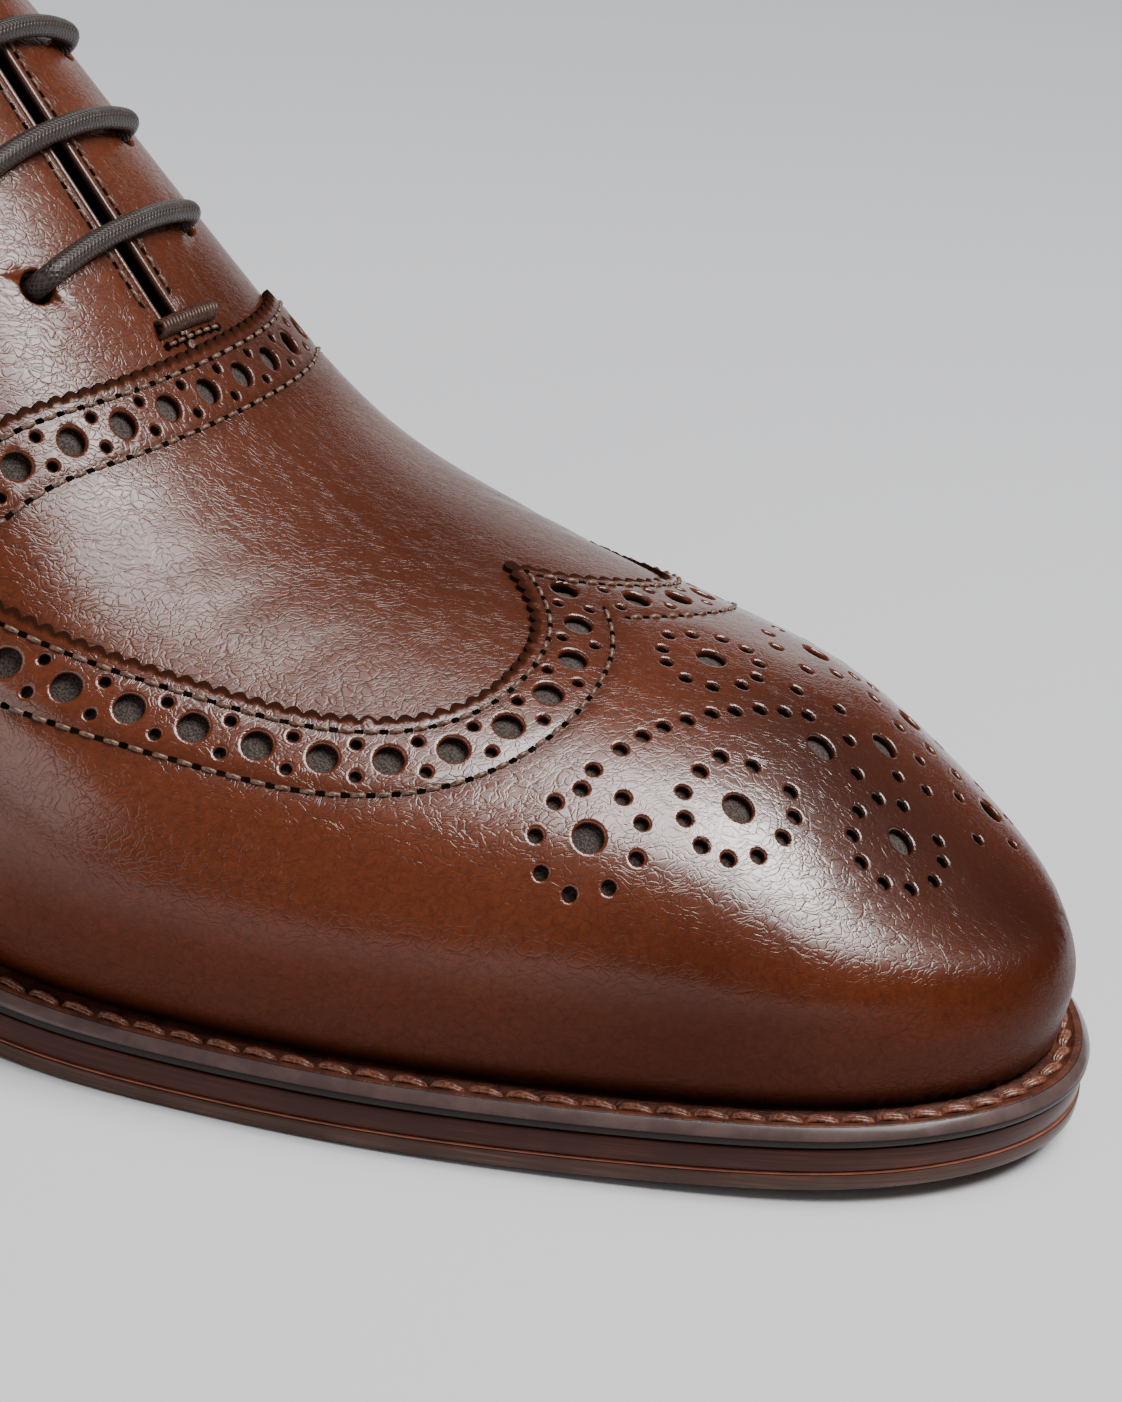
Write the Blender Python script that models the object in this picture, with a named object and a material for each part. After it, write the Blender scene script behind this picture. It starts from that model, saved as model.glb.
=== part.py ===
"""Right shoe of a pair of full brogue oxfords, built as its maker would put it together:
a layered leather sole with a stacked heel, a welt, an insole, a hollow lasted upper with
its vamp, wing cap and heel counter laid over it, a tongue and five straight lace bars.

The origin lies on the floor under the middle of the heel. +X runs to the toe, +Y to the
inner (medial) side of the foot and +Z up.
"""
import math

import bpy
import bmesh
import numpy as np

# Sizes of the last, in metres
LAST_LENGTH = 0.290
HEEL_SET = 0.034
BALL_WIDTH = 0.094
TOE_ASIDE = 0.0134
INSTEP_HEIGHT = 0.109
WIDEST_HEIGHT = 0.016
WALL_BULGE = 0.0025
TOE_POLE = 0.043
HEEL_POLE = 0.036
POLE_BLEND = 0.010
NOSE_ROUND = 0.0021
NOSE_START = 0.93
NOSE_ANGLE = 0.10
NOSE_SPREAD = 0.35

# Sizes of the sole and heel
HEEL_HEIGHT = 0.026
TOP_PIECE = 0.006
TOE_SPRING = 0.0022
OUTSOLE_THICK = 0.0019
MIDSOLE_THICK = 0.0030
WELT_THICK = 0.0022
WELT_WIDTH = 0.0064
WELT_BEVEL = 0.0007
INSOLE_THICK = 0.0034
HEEL_TAPER = 0.0015
BREAST_HOLLOW = 0.003

# Sizes of the leathers, the openings and the lace
SHELL_WALL = 0.0020
VAMP_THICK = 0.0010
CAP_THICK = 0.0018
COUNTER_THICK = 0.0012
TONGUE_THICK = 0.0022
TONGUE_HALF = 0.027
TONGUE_ROOM = 0.0008
SLIT_HALF = 0.0017
COLLAR_BACK = 0.060
EYELET_REACH = 0.0155
EYELET_PAIRS = 5
LACE_RADIUS = 0.00135

# Space left where two pieces meet
SEAM = 0.0003

# The feather line seen from above: share of last length from the heel, then how far it
# lies to the outer and to the inner side, as shares of ball width
FEATHER = (
    (0.03, 0.205, 0.195),
    (0.08, 0.300, 0.290),
    (0.15, 0.345, 0.330),
    (0.25, 0.357, 0.302),
    (0.35, 0.363, 0.262),
    (0.45, 0.405, 0.272),
    (0.55, 0.475, 0.345),
    (0.62, 0.512, 0.435),
    (0.68, 0.522, 0.505),
    (0.74, 0.475, 0.508),
    (0.80, 0.402, 0.496),
    (0.86, 0.306, 0.464),
    (0.91, 0.214, 0.420),
    (0.95, 0.126, 0.367),
    (0.98, 0.026, 0.291),
)

# The ridge over the instep: share of last length, height as a share of instep height
RIDGE = (
    (-0.02, 1.38),
    (0.12, 1.38),
    (0.22, 1.29),
    (0.32, 1.12),
    (0.40, 1.00),
    (0.46, 0.927),
    (0.52, 0.807),
    (0.58, 0.663),
    (0.64, 0.514),
    (0.70, 0.446),
    (0.76, 0.417),
    (0.82, 0.393),
    (0.88, 0.366),
    (0.94, 0.290),
)

# How each section is rounded: share of last length, fullness of the crown, how far the
# outer and the inner side lean in, shift of the ridge as a share of ball width, bulge of
# the wall as a share of WALL_BULGE, height of the widest line as a share of WIDEST_HEIGHT
SECTIONS = (
    (0.08, 0.05, 0.00, 0.00, 0.000, 1.00, 1.00),
    (0.26, 0.05, 0.05, 0.05, 0.000, 0.80, 1.12),
    (0.45, 0.16, 0.10, 0.04, 0.030, 0.80, 1.00),
    (0.58, 0.12, 0.07, 0.03, 0.018, 0.72, 0.88),
    (0.72, 0.02, 0.03, 0.04, 0.040, 0.52, 0.75),
    (0.84, 0.04, 0.00, 0.01, 0.032, 0.20, 0.75),
    (0.90, 0.08, 0.00, 0.00, 0.018, 0.40, 0.78),
)

# Height of the sole's underside: share of last length, share of heel height
ARCH = (
    (0.235, 1.0),
    (0.615, 0.0),
)
# Where the underside leaves the floor again for the toe
SPRING_START = 0.73

# The welt shows beyond the feather line: share of the way to the toe, share of its width
WELT_SHOWS = (
    (0.00, 0.45),
    (0.20, 0.42),
    (0.36, 0.50),
    (0.48, 0.80),
    (0.60, 1.00),
    (1.00, 1.00),
)

# The collar: share of the way to the toe, height over the heel seat as a share of
# COLLAR_BACK
COLLAR = (
    (0.00, 1.00),
    (0.05, 0.96),
    (0.12, 0.82),
    (0.20, 0.75),
    (0.27, 0.80),
    (0.33, 0.95),
    (0.37, 1.11),
    (0.39, 1.20),
    (0.40, 1.24),
)
FACING_TOP = 0.40
THROAT = 0.584
FIRST_EYELET = 0.558
EYELET_STEP = 0.0315

# The tongue: its stations above the facings, its lower end, and its half width as a
# share of TONGUE_HALF at shares of the way to the toe
TONGUE_TOP = (0.345, 0.352, 0.366)
TONGUE_END = 0.66
TONGUE_WIDTHS = (
    (0.345, 0.62),
    (0.352, 0.85),
    (0.366, 0.95),
    (0.450, 1.00),
    (0.655, 0.62),
)

# Edge of the vamp over the quarters and edge of the winged cap over the vamp, seen from
# above: share of last length, place across as a share of ball width
VAMP_EDGE = (
    (0.500, -0.640),
    (0.520, -0.560),
    (0.560, -0.490),
    (0.578, -0.450),
    (0.588, -0.400),
    (0.593, -0.342),
    (0.606, -0.212),
    (0.611, -0.029),
    (0.598, 0.187),
    (0.582, 0.270),
    (0.574, 0.315),
    (0.571, 0.350),
    (0.570, 0.400),
    (0.565, 0.560),
)
CAP_EDGE = (
    (0.440, -0.620),
    (0.460, -0.540),
    (0.500, -0.490),
    (0.560, -0.475),
    (0.627, -0.444),
    (0.678, -0.398),
    (0.740, -0.317),
    (0.775, -0.234),
    (0.786, -0.160),
    (0.786, -0.097),
    (0.776, -0.022),
    (0.747, 0.067),
    (0.776, 0.156),
    (0.786, 0.231),
    (0.786, 0.290),
    (0.775, 0.350),
    (0.740, 0.410),
    (0.700, 0.425),
    (0.640, 0.402),
    (0.580, 0.363),
    (0.550, 0.350),
    (0.520, 0.342),
    (0.490, 0.350),
    (0.460, 0.400),
    (0.440, 0.560),
)
# Upper edge of the heel counter seen from the side: share of last length, share of
# COLLAR_BACK over the heel seat
COUNTER_EDGE = (
    (-0.05, 0.62),
    (0.05, 0.60),
    (0.12, 0.52),
    (0.18, 0.36),
    (0.23, 0.12),
    (0.26, -0.10),
)

SOLE_EDGE = OUTSOLE_THICK + MIDSOLE_THICK + WELT_THICK + 2 * SEAM
TIP = LAST_LENGTH - HEEL_SET
ROWS = 11


def spline(table):
    """Natural cubic curve through a table whose first column rises."""
    table = np.asarray(table, float)
    x, y = table[:, 0], table[:, 1:]
    n = len(x)
    h = np.diff(x)
    system = np.zeros((n, n))
    right = np.zeros_like(y)
    system[0, 0] = system[-1, -1] = 1.0
    for i in range(1, n - 1):
        system[i, i - 1:i + 2] = h[i - 1], 2 * (h[i - 1] + h[i]), h[i]
        right[i] = 6 * ((y[i + 1] - y[i]) / h[i] - (y[i] - y[i - 1]) / h[i - 1])
    bend = np.linalg.solve(system, right)

    def curve(at):
        at = np.asarray(at, float)
        i = np.clip(np.searchsorted(x, at, side="right") - 1, 0, n - 2)
        step = h[i][..., None]
        a = (x[i + 1] - at)[..., None] / step
        b = (at - x[i])[..., None] / step
        return a * y[i] + b * y[i + 1] + ((a**3 - a) * bend[i] + (b**3 - b) * bend[i + 1]) * step**2 / 6

    return curve


def eased(table):
    """Like spline, for one value that must not overshoot."""
    table = np.asarray(table, float)

    def curve(at):
        at = np.asarray(at, float)
        i = np.clip(np.searchsorted(table[:, 0], at, side="right") - 1, 0, len(table) - 2)
        u = np.clip((at - table[i, 0]) / (table[i + 1, 0] - table[i, 0]), 0, 1)
        return table[i, 1] + (table[i + 1, 1] - table[i, 1]) * u * u * (3 - 2 * u)

    return curve


def feather_ring():
    """Closed curve of the feather line: heel, outer side, toe, inner side."""
    rows = np.asarray(FEATHER)
    x = rows[:, 0] * LAST_LENGTH - HEEL_SET
    outer = np.column_stack([x, -rows[:, 1] * BALL_WIDTH])
    inner = np.column_stack([x, rows[:, 2] * BALL_WIDTH])
    ring = np.vstack([[(-HEEL_SET, 0.0)], outer, [(TIP, TOE_ASIDE)], inner[::-1]])
    wrap = 3
    points = np.vstack([ring[-wrap:], ring, ring[:wrap + 1]])
    along = np.concatenate([[0.0], np.cumsum(np.linalg.norm(np.diff(points, axis=0), axis=1))])
    curve = spline(np.column_stack([along, points]))
    return curve, along[wrap], along[wrap + 1 + len(outer)], along[wrap + len(ring)]


RING, AT_HEEL, AT_TOE, AT_END = feather_ring()
RIDGE_AT = spline(RIDGE)
SECTION_AT = spline(SECTIONS)
WELT_AT = eased(WELT_SHOWS)
COLLAR_AT = spline(COLLAR)


def feather(t, side):
    """Plan point and outward direction of the feather line, t from heel 0 to toe 1."""
    t = np.asarray(t, float)
    start = AT_HEEL if side < 0 else AT_END
    u = start + (AT_TOE - start) * t
    step = 0.00001
    way = RING(u + step) - RING(u - step)
    way /= np.linalg.norm(way, axis=-1, keepdims=True)
    return RING(u), np.stack([way[..., 1], -way[..., 0]], -1)


def share(x):
    return (x + HEEL_SET) / LAST_LENGTH


def sole_height(x):
    """Height of the sole's underside: heel seat, arch, flat tread and toe spring."""
    (breast, high), (tread, low) = ARCH
    w = np.clip((tread - share(x)) / (tread - breast), 0, 1)
    arch = HEEL_HEIGHT * (low + (high - low) * w * w * (3 - 2 * w))
    lift = np.clip((share(x) - SPRING_START) / (1 - SPRING_START), 0, 2)
    return arch + TOE_SPRING * lift**2


MIDDLE_T = np.linspace(0, 1, 81)
MIDDLE = (feather(MIDDLE_T, -1)[0] + feather(MIDDLE_T, 1)[0]) / 2


def stop_short(past):
    """Distance past a pole, blended to nothing over POLE_BLEND on both sides of it."""
    blend = -(POLE_BLEND - past)**2 / (4 * POLE_BLEND)
    return np.where(past < -POLE_BLEND, past, np.where(past > POLE_BLEND, 0.0, blend))


def rib(t, angle, side):
    """Point of the last's surface on rib t: the angle runs from the feather line at
    -90 degrees over the widest line at 0 to the ridge at 90 degrees."""
    t, angle = np.broadcast_arrays(np.asarray(t, float), np.asarray(angle, float))
    here, out = feather(t, side)
    there, _ = feather(t, -side)
    x = ((here + there) / 2)[..., 0]
    toe_pole = TIP - TOE_POLE
    heel_pole = HEEL_POLE - HEEL_SET
    x = toe_pole + stop_short(x - toe_pole)
    x = heel_pole - stop_short(heel_pole - x)
    section = SECTION_AT(np.clip(share(x), SECTIONS[0][0], SECTIONS[-1][0]))
    full = section[..., 0]
    lean = section[..., 1] if side < 0 else section[..., 2]
    bulge = section[..., 4] * WALL_BULGE
    widest = section[..., 5] * WIDEST_HEIGHT
    spine = np.stack([x, np.interp(x, MIDDLE[:, 0], MIDDLE[:, 1]) + section[..., 3] * BALL_WIDTH], -1)
    up = np.clip(angle, 0, None)
    reach = np.cos(up) * (1 + (full - lean) * np.sin(up)**2)
    rise = np.sin(up) * (1 + full * np.cos(up)**2)
    tuck = math.radians(35)
    down = math.pi / 2 + np.clip(angle, None, 0) * (math.pi / 2 - tuck) / (math.pi / 2)
    stand = bulge * (np.sin(down) - math.sin(tuck)) / (1 - math.sin(tuck))
    climb = widest * (math.cos(tuck) - np.cos(down)) / math.cos(tuck)
    near_tip = np.clip((share(here[..., 0]) - NOSE_START) / (1 - NOSE_START), 0, 1)
    nose = NOSE_ROUND * near_tip**2 * (3 - 2 * near_tip) * np.exp(-((angle - NOSE_ANGLE) / NOSE_SPREAD)**2)
    plan = spine + (here + out * (stand - nose)[..., None] - spine) * reach[..., None]
    base = sole_height(here[..., 0]) + SOLE_EDGE + SEAM
    ridge = RIDGE_AT(share(plan[..., 0]))[..., 0] * INSTEP_HEIGHT
    height = np.where(angle > 0, base + widest + (ridge - base - widest) * rise, base + climb)
    return np.concatenate([plan, height[..., None]], -1)


def skin(t, angle, side, out):
    """Point at distance out from the last's surface, along its own normal; at the
    feather line the normal is kept level, so every leather stands on the welt."""
    t, angle, out = np.broadcast_arrays(np.asarray(t, float), np.asarray(angle, float), np.asarray(out, float))
    near_t = np.clip(t, 0.002, 0.998)
    near_a = np.clip(angle, -1.5, 1.56)
    along = rib(near_t + 0.002, near_a, side) - rib(near_t - 0.002, near_a, side)
    over = rib(near_t, near_a + 0.008, side) - rib(near_t, near_a - 0.008, side)
    normal = -side * np.cross(along, over)
    normal /= np.linalg.norm(normal, axis=-1, keepdims=True)
    normal[..., 2] *= np.clip((angle + math.pi / 2) / 0.3, 0, 1)
    normal /= np.linalg.norm(normal, axis=-1, keepdims=True)
    return rib(t, angle, side) + normal * out[..., None]


def angle_where(t, side, test):
    """Angle on rib t at which test(point) turns true, going up from the widest line."""
    low = np.zeros_like(t)
    high = np.full_like(t, math.pi / 2)
    for _ in range(30):
        middle = (low + high) / 2
        above = test(rib(t, middle, side))
        low = np.where(above, low, middle)
        high = np.where(above, middle, high)
    return (low + high) / 2


def spine_point(t):
    return rib(t, math.pi / 2, -1)


def angle_at_reach(t, side, reach):
    """Angle on rib t at which the surface lies at this distance from the ridge."""
    ridge = spine_point(t)
    return angle_where(t, side, lambda p: np.linalg.norm(p - ridge, axis=-1) < reach)


def seat_height():
    return HEEL_HEIGHT + SOLE_EDGE


def top_angle(t, side):
    """Where the upper ends on rib t: at the collar, at the slit, or closed at the ridge."""
    collar = seat_height() + COLLAR_BACK * COLLAR_AT(np.clip(t, COLLAR[0][0], COLLAR[-1][0]))[..., 0]
    at_collar = angle_where(t, side, lambda p: p[..., 2] > collar)
    at_slit = angle_at_reach(t, side, SLIT_HALF)
    closed = np.full_like(t, math.pi / 2)
    return np.where(t < FACING_TOP - 1e-6, at_collar, np.where(t < THROAT - 1e-6, at_slit, closed))


def dense_ends(low, high, count):
    """Stations from low to high, closer together near high."""
    u = np.linspace(0, 1, count)
    return low + (high - low) * (1 - (1 - u)**1.6)


HEEL_STATIONS = dense_ends(0.37, 0.0, 12)[::-1]
FACING_CORNER = FACING_TOP - np.array([0.018, 0.012, 0.006, 0.002])
THROAT_STATIONS = np.linspace(FACING_TOP, THROAT, 7)
TOE_STATIONS = dense_ends(THROAT, 1.0, 14)[1:]
STATIONS = np.concatenate([HEEL_STATIONS, FACING_CORNER, THROAT_STATIONS, TOE_STATIONS])
# The sole is cut at the same stations, so that upper and welt keep their gap all round
SOLE_STATIONS = np.concatenate([HEEL_STATIONS, THROAT_STATIONS, TOE_STATIONS])


def material(name, colour, roughness, coat=0.0):
    made = bpy.data.materials.new(name)
    made.use_nodes = True
    shader = made.node_tree.nodes["Principled BSDF"]
    shader.inputs["Base Color"].default_value = (*colour, 1.0)
    shader.inputs["Roughness"].default_value = roughness
    shader.inputs["Coat Weight"].default_value = coat
    return made


def add_object(name, mesh, finish):
    obj = bpy.data.objects.new(name, mesh)
    bpy.context.scene.collection.objects.link(obj)
    obj.data.materials.append(finish)
    return obj


def solid(name, points, faces, finish):
    """Closed body from points and faces, with coincident points joined and faces out."""
    mesh = bpy.data.meshes.new(name)
    bm = bmesh.new()
    verts = [bm.verts.new(p) for p in points]
    for face in faces:
        bm.faces.new([verts[i] for i in face])
    bmesh.ops.remove_doubles(bm, verts=bm.verts, dist=0.000002)
    bmesh.ops.triangulate(bm, faces=bm.faces)
    bmesh.ops.recalc_face_normals(bm, faces=bm.faces)
    bm.to_mesh(mesh)
    bm.free()
    mesh.shade_smooth()
    mesh.set_sharp_from_angle(angle=math.radians(40))
    return add_object(name, mesh, finish)


def layered(name, ground, outer, inner, closed, finish):
    """Closed leather between two grids of points that lie over the ground grid. Where
    points of the ground meet, at the ridge and at the poles, the leather has one point."""
    number = {}
    index = np.zeros(ground.shape[:2], int)
    members = []
    for i, j in np.ndindex(index.shape):
        key = tuple(np.round(ground[i, j] * 100000).astype(int))
        if key not in number:
            number[key] = len(members)
            members.append([])
        index[i, j] = number[key]
        members[index[i, j]].append((i, j))
    count = len(members)
    points = [np.mean([grid[place] for place in places], axis=0)
              for grid in (outer, inner) for places in members]
    faces = []
    edges = set()
    for i in range(len(index) if closed else len(index) - 1):
        k = (i + 1) % len(index)
        for j in range(index.shape[1] - 1):
            corners = [index[i, j], index[k, j], index[k, j + 1], index[i, j + 1]]
            face = [c for n, c in enumerate(corners) if c != corners[n - 1]]
            if len(face) < 3:
                continue
            faces.append(face)
            edges.update(zip(face, face[1:] + face[:1]))
    walls = [(b, a, a + count, b + count) for a, b in sorted(edges) if (b, a) not in edges]
    back = [[c + count for c in reversed(face)] for face in faces]
    return solid(name, points, faces + back + walls, finish)


def around(stations, top, out):
    """Grids over the outer and the inner side, at distance out from the last."""
    grids = []
    for side in (-1, 1):
        end = top(stations, side)
        share_up = np.linspace(0, 1, ROWS + 1)
        angle = -math.pi / 2 + (end[:, None] + math.pi / 2) * share_up
        grids.append(skin(stations[:, None], angle, side, out))
    return grids


def round_toe(outer_side, inner_side):
    """One grid: forward along the outer side, round the toe, back along the inner side."""
    return np.concatenate([outer_side, inner_side[::-1][1:]])


def round_heel(outer_side, inner_side):
    return np.concatenate([outer_side[::-1], inner_side[1:]])


def sweep(name, rings, finish, ends="capped"):
    """Closed body through rings of points. Its ends are capped, run together to a
    point or an edge of their own, or the last ring joins the first."""
    rings = np.asarray(rings)
    count, size = rings.shape[:2]
    faces = []
    for i in range(count if ends == "joined" else count - 1):
        k = (i + 1) % count
        for j in range(size):
            m = (j + 1) % size
            faces.append((i * size + j, i * size + m, k * size + m, k * size + j))
    if ends == "capped":
        faces.append(tuple(range(size)))
        faces.append(tuple(range((count - 1) * size, count * size)))
    return solid(name, rings.reshape(-1, 3), faces, finish)


def edge_points(stations, side, beyond):
    """Plan points at a distance beyond the feather line."""
    here, out = feather(stations, side)
    return here + out * np.asarray(beyond)[..., None]


def at_height(plan, above):
    return np.column_stack([plan, sole_height(plan[:, 0]) + above])


def plate(name, beyond, low, high, finish):
    """Sole layer between two heights over the sole's underside."""
    outer = edge_points(SOLE_STATIONS, -1, beyond)
    inner = edge_points(SOLE_STATIONS, 1, beyond)
    corners = [at_height(outer, low), at_height(inner, low), at_height(inner, high), at_height(outer, high)]
    return sweep(name, np.stack(corners, 1), finish, "pointed")


def welt_reach(stations):
    return WELT_WIDTH * WELT_AT(stations)


def make_outsole(finish):
    reach = welt_reach(SOLE_STATIONS)
    return plate("outsole", reach, 0.0, OUTSOLE_THICK, finish)


def make_midsole(finish):
    low = OUTSOLE_THICK + SEAM
    reach = welt_reach(SOLE_STATIONS) - SEAM
    return plate("midsole", reach, low, low + MIDSOLE_THICK, finish)


def make_welt(finish):
    """Strip round the whole shoe that the upper is sewn to, its upper outer edge bevelled."""
    high = SOLE_EDGE
    low = high - WELT_THICK
    inside = -SHELL_WALL - 2 * SEAM
    loops = []
    for side in (-1, 1):
        stations = SOLE_STATIONS if side < 0 else SOLE_STATIONS[-2:0:-1]
        reach = welt_reach(stations)
        inner = edge_points(stations, side, np.full_like(stations, inside))
        flat = edge_points(stations, side, reach - WELT_BEVEL)
        outer = edge_points(stations, side, reach)
        rows = [at_height(inner, low), at_height(inner, high), at_height(flat, high),
                at_height(outer, high - WELT_BEVEL), at_height(outer, low)]
        loops.append(np.stack(rows, 1))
    return sweep("welt", np.concatenate(loops), finish, "joined")


def make_insole(finish):
    inside = -SHELL_WALL - 3 * SEAM
    low = SOLE_EDGE - WELT_THICK
    reach = np.full_like(SOLE_STATIONS, inside)
    return plate("insole", reach, low, low + INSOLE_THICK, finish)


def breast_station():
    """Share of the way to the toe at which the heel's front face stands."""
    x = MIDDLE[:, 0]
    return float(np.interp(ARCH[0][0] * LAST_LENGTH - HEEL_SET, x, MIDDLE_T))


def heel_block(name, low, high, finish):
    """Slice of the heel between two heights, tapering in a little towards the floor,
    with a hollowed front face."""
    stations = dense_ends(breast_station(), 0.0, 13)[::-1]
    levels = []
    for z in (low, high):
        inset = HEEL_TAPER * (HEEL_HEIGHT - z) / HEEL_HEIGHT
        reach = welt_reach(stations) - inset
        outer = edge_points(stations, -1, reach)
        inner = edge_points(stations, 1, reach)
        across = np.linspace(0, 1, 9)[1:-1, None]
        front = outer[-1] + (inner[-1] - outer[-1]) * across
        front[:, 0] -= BREAST_HOLLOW * np.sin(math.pi * across[:, 0])
        ring = np.vstack([outer, front, inner[:0:-1]])
        levels.append(np.column_stack([ring, np.full(len(ring), z)]))
    return sweep(name, levels, finish)


def make_heel_stack(finish):
    return heel_block("heel_stack", TOP_PIECE + SEAM, HEEL_HEIGHT - SEAM, finish)


def make_heel_top_piece(finish):
    return heel_block("heel_top_piece", 0.0, TOP_PIECE, finish)


def make_upper(finish):
    """Quarters and toe as one hollow lasted shell, open at the collar, down the lace
    slit and underneath."""
    outer = round_toe(*around(STATIONS, top_angle, 0.0))
    inner = round_toe(*around(STATIONS, top_angle, -SHELL_WALL))
    return layered("upper", outer, outer, inner, False, finish)


def closed_top(t, side):
    return np.full_like(t, math.pi / 2)


def front_blank(name, first, thick, finish):
    """Leather laid over the front of the shell, from station first to the toe."""
    stations = STATIONS[STATIONS > first]
    grids = [round_toe(*around(stations, closed_top, out)) for out in (0.0, SEAM + thick, SEAM)]
    return layered(name, *grids, False, finish)


def plan_curve(table, gap=0.0):
    """Edge of a leather seen from above, moved back by gap."""
    points = np.array([(s * LAST_LENGTH - HEEL_SET, y * BALL_WIDTH) for s, y in table])
    way = np.gradient(points, axis=0)
    way /= np.linalg.norm(way, axis=1, keepdims=True)
    return points + np.column_stack([-way[:, 1], way[:, 0]]) * gap


def prism(name, outline, low, high, lay):
    """Cutter: an outline drawn out between two levels; lay places its points."""
    count = len(outline)
    points = [lay(p, low) for p in outline] + [lay(p, high) for p in outline]
    faces = [tuple(range(count)), tuple(range(count, 2 * count))]
    for i in range(count):
        k = (i + 1) % count
        faces.append((i, k, k + count, i + count))
    mesh_object = solid(name, points, faces, material(name, (1, 0, 1), 0.5))
    mesh_object.hide_render = True
    mesh_object.display_type = "WIRE"
    return mesh_object


def cut(body, cutter, operation):
    step = body.modifiers.new(cutter.name, "BOOLEAN")
    step.operation = operation
    step.solver = "EXACT"
    step.object = cutter


def from_above(point, level):
    return (point[0], point[1], level)


def from_side(point, level):
    return (point[0], level, point[1])


def ahead_of(name, edge):
    """Cutter for all that lies ahead of an edge drawn in plan."""
    far = 2 * TIP
    outline = [*edge, (edge[-1][0], far), (far, far), (far, -far), (edge[0][0], -far)]
    return prism(name, outline, -HEEL_HEIGHT, 2 * INSTEP_HEIGHT, from_above)


def make_vamp(finish):
    body = front_blank("vamp", 0.43, VAMP_THICK, finish)
    cut(body, ahead_of("vamp_region", plan_curve(VAMP_EDGE)), "INTERSECT")
    cut(body, ahead_of("cap_room", plan_curve(CAP_EDGE, SEAM)), "DIFFERENCE")
    return body


def make_wing_cap(finish):
    body = front_blank("wing_cap", 0.36, CAP_THICK, finish)
    cut(body, ahead_of("cap_region", plan_curve(CAP_EDGE)), "INTERSECT")
    return body


def make_heel_counter(finish):
    """Leather round the back of the heel, its upper edge a slope seen from the side."""
    stations = STATIONS[STATIONS < 0.36]
    grids = [round_heel(*around(stations, top_angle, out)) for out in (0.0, SEAM + COUNTER_THICK, SEAM)]
    body = layered("heel_counter", *grids, False, finish)
    edge = [(s * LAST_LENGTH - HEEL_SET, seat_height() + h * COLLAR_BACK) for s, h in COUNTER_EDGE]
    low = -HEEL_HEIGHT
    outline = [*edge, (edge[-1][0], low), (edge[0][0] - HEEL_SET, low), (edge[0][0] - HEEL_SET, edge[0][1])]
    cut(body, prism("counter_region", outline, -BALL_WIDTH, BALL_WIDTH, from_side), "INTERSECT")
    return body


def make_tongue(finish):
    """Tongue under the lace slit, from inside the vamp to above the facings."""
    under = STATIONS[(STATIONS > FACING_CORNER[0] - 0.001) & (STATIONS < TONGUE_END)]
    stations = np.concatenate([TONGUE_TOP, under])
    taper = np.interp(stations, *np.transpose(TONGUE_WIDTHS))
    sheets = []
    for depth in (SHELL_WALL + TONGUE_ROOM, SHELL_WALL + TONGUE_ROOM + TONGUE_THICK):
        sides = []
        for side in (-1, 1):
            edge = angle_at_reach(stations, side, TONGUE_HALF * taper)
            share_up = np.linspace(0, 1, 8)
            angle = edge[:, None] + (math.pi / 2 - edge[:, None]) * share_up
            grid = skin(stations[:, None], angle, side, -depth)
            sides.append(grid if side < 0 else grid[:, ::-1][:, 1:])
        sheets.append(np.concatenate(sides, axis=1))
    return layered("tongue", sheets[0], sheets[0], sheets[1], False, finish)


def make_lace_bar(number, finish):
    """Straight lace bar across one pair of eyelets, lying on the facings."""
    t = np.full(9, FIRST_EYELET - EYELET_STEP * number)
    lift = SEAM + LACE_RADIUS
    path = []
    for side in (-1, 1):
        end = angle_at_reach(t[:1], side, EYELET_REACH)[0]
        angle = end + (math.pi / 2 - end) * np.linspace(0, 1, 9)
        points = skin(t, angle, side, lift)
        path.append(points if side < 0 else points[::-1][1:])
    points = np.concatenate(path)
    curve = bpy.data.curves.new(f"lace_bar_{number + 1}", "CURVE")
    curve.dimensions = "3D"
    curve.bevel_depth = LACE_RADIUS
    curve.bevel_resolution = 2
    curve.use_fill_caps = True
    line = curve.splines.new("POLY")
    line.points.add(len(points) - 1)
    for spot, p in zip(line.points, points):
        spot.co = (*p, 1.0)
    return add_object(f"lace_bar_{number + 1}", curve, finish)


def build():
    for obj in list(bpy.data.objects):
        bpy.data.objects.remove(obj, do_unlink=True)
    leather = material("burnished_leather", (0.17, 0.045, 0.02), 0.35, 0.3)
    lining = material("tan_lining_leather", (0.42, 0.27, 0.16), 0.7)
    sole = material("sole_leather", (0.05, 0.025, 0.018), 0.35, 0.3)
    rubber = material("heel_rubber", (0.02, 0.02, 0.02), 0.7)
    lace = material("waxed_lace", (0.035, 0.025, 0.02), 0.5)
    make_outsole(sole)
    make_midsole(sole)
    make_welt(sole)
    make_heel_stack(sole)
    make_heel_top_piece(rubber)
    make_insole(lining)
    make_upper(leather)
    make_vamp(leather)
    make_wing_cap(leather)
    make_heel_counter(leather)
    make_tongue(leather)
    for number in range(EYELET_PAIRS):
        make_lace_bar(number, lace)


build()
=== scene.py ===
"""Dresses the right shoe of a pair of brown full brogue oxfords: burnished calf panels
with pinked edges, punched holes and stitching, a sewn welt, a stacked heel, waxed laces
and tan linings, on a pale studio floor.
"""
import math

import bpy
import bmesh
import numpy as np
from mathutils import Matrix, Vector
from mathutils.geometry import delaunay_2d_cdt
from mathutils.kdtree import KDTree


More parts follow.
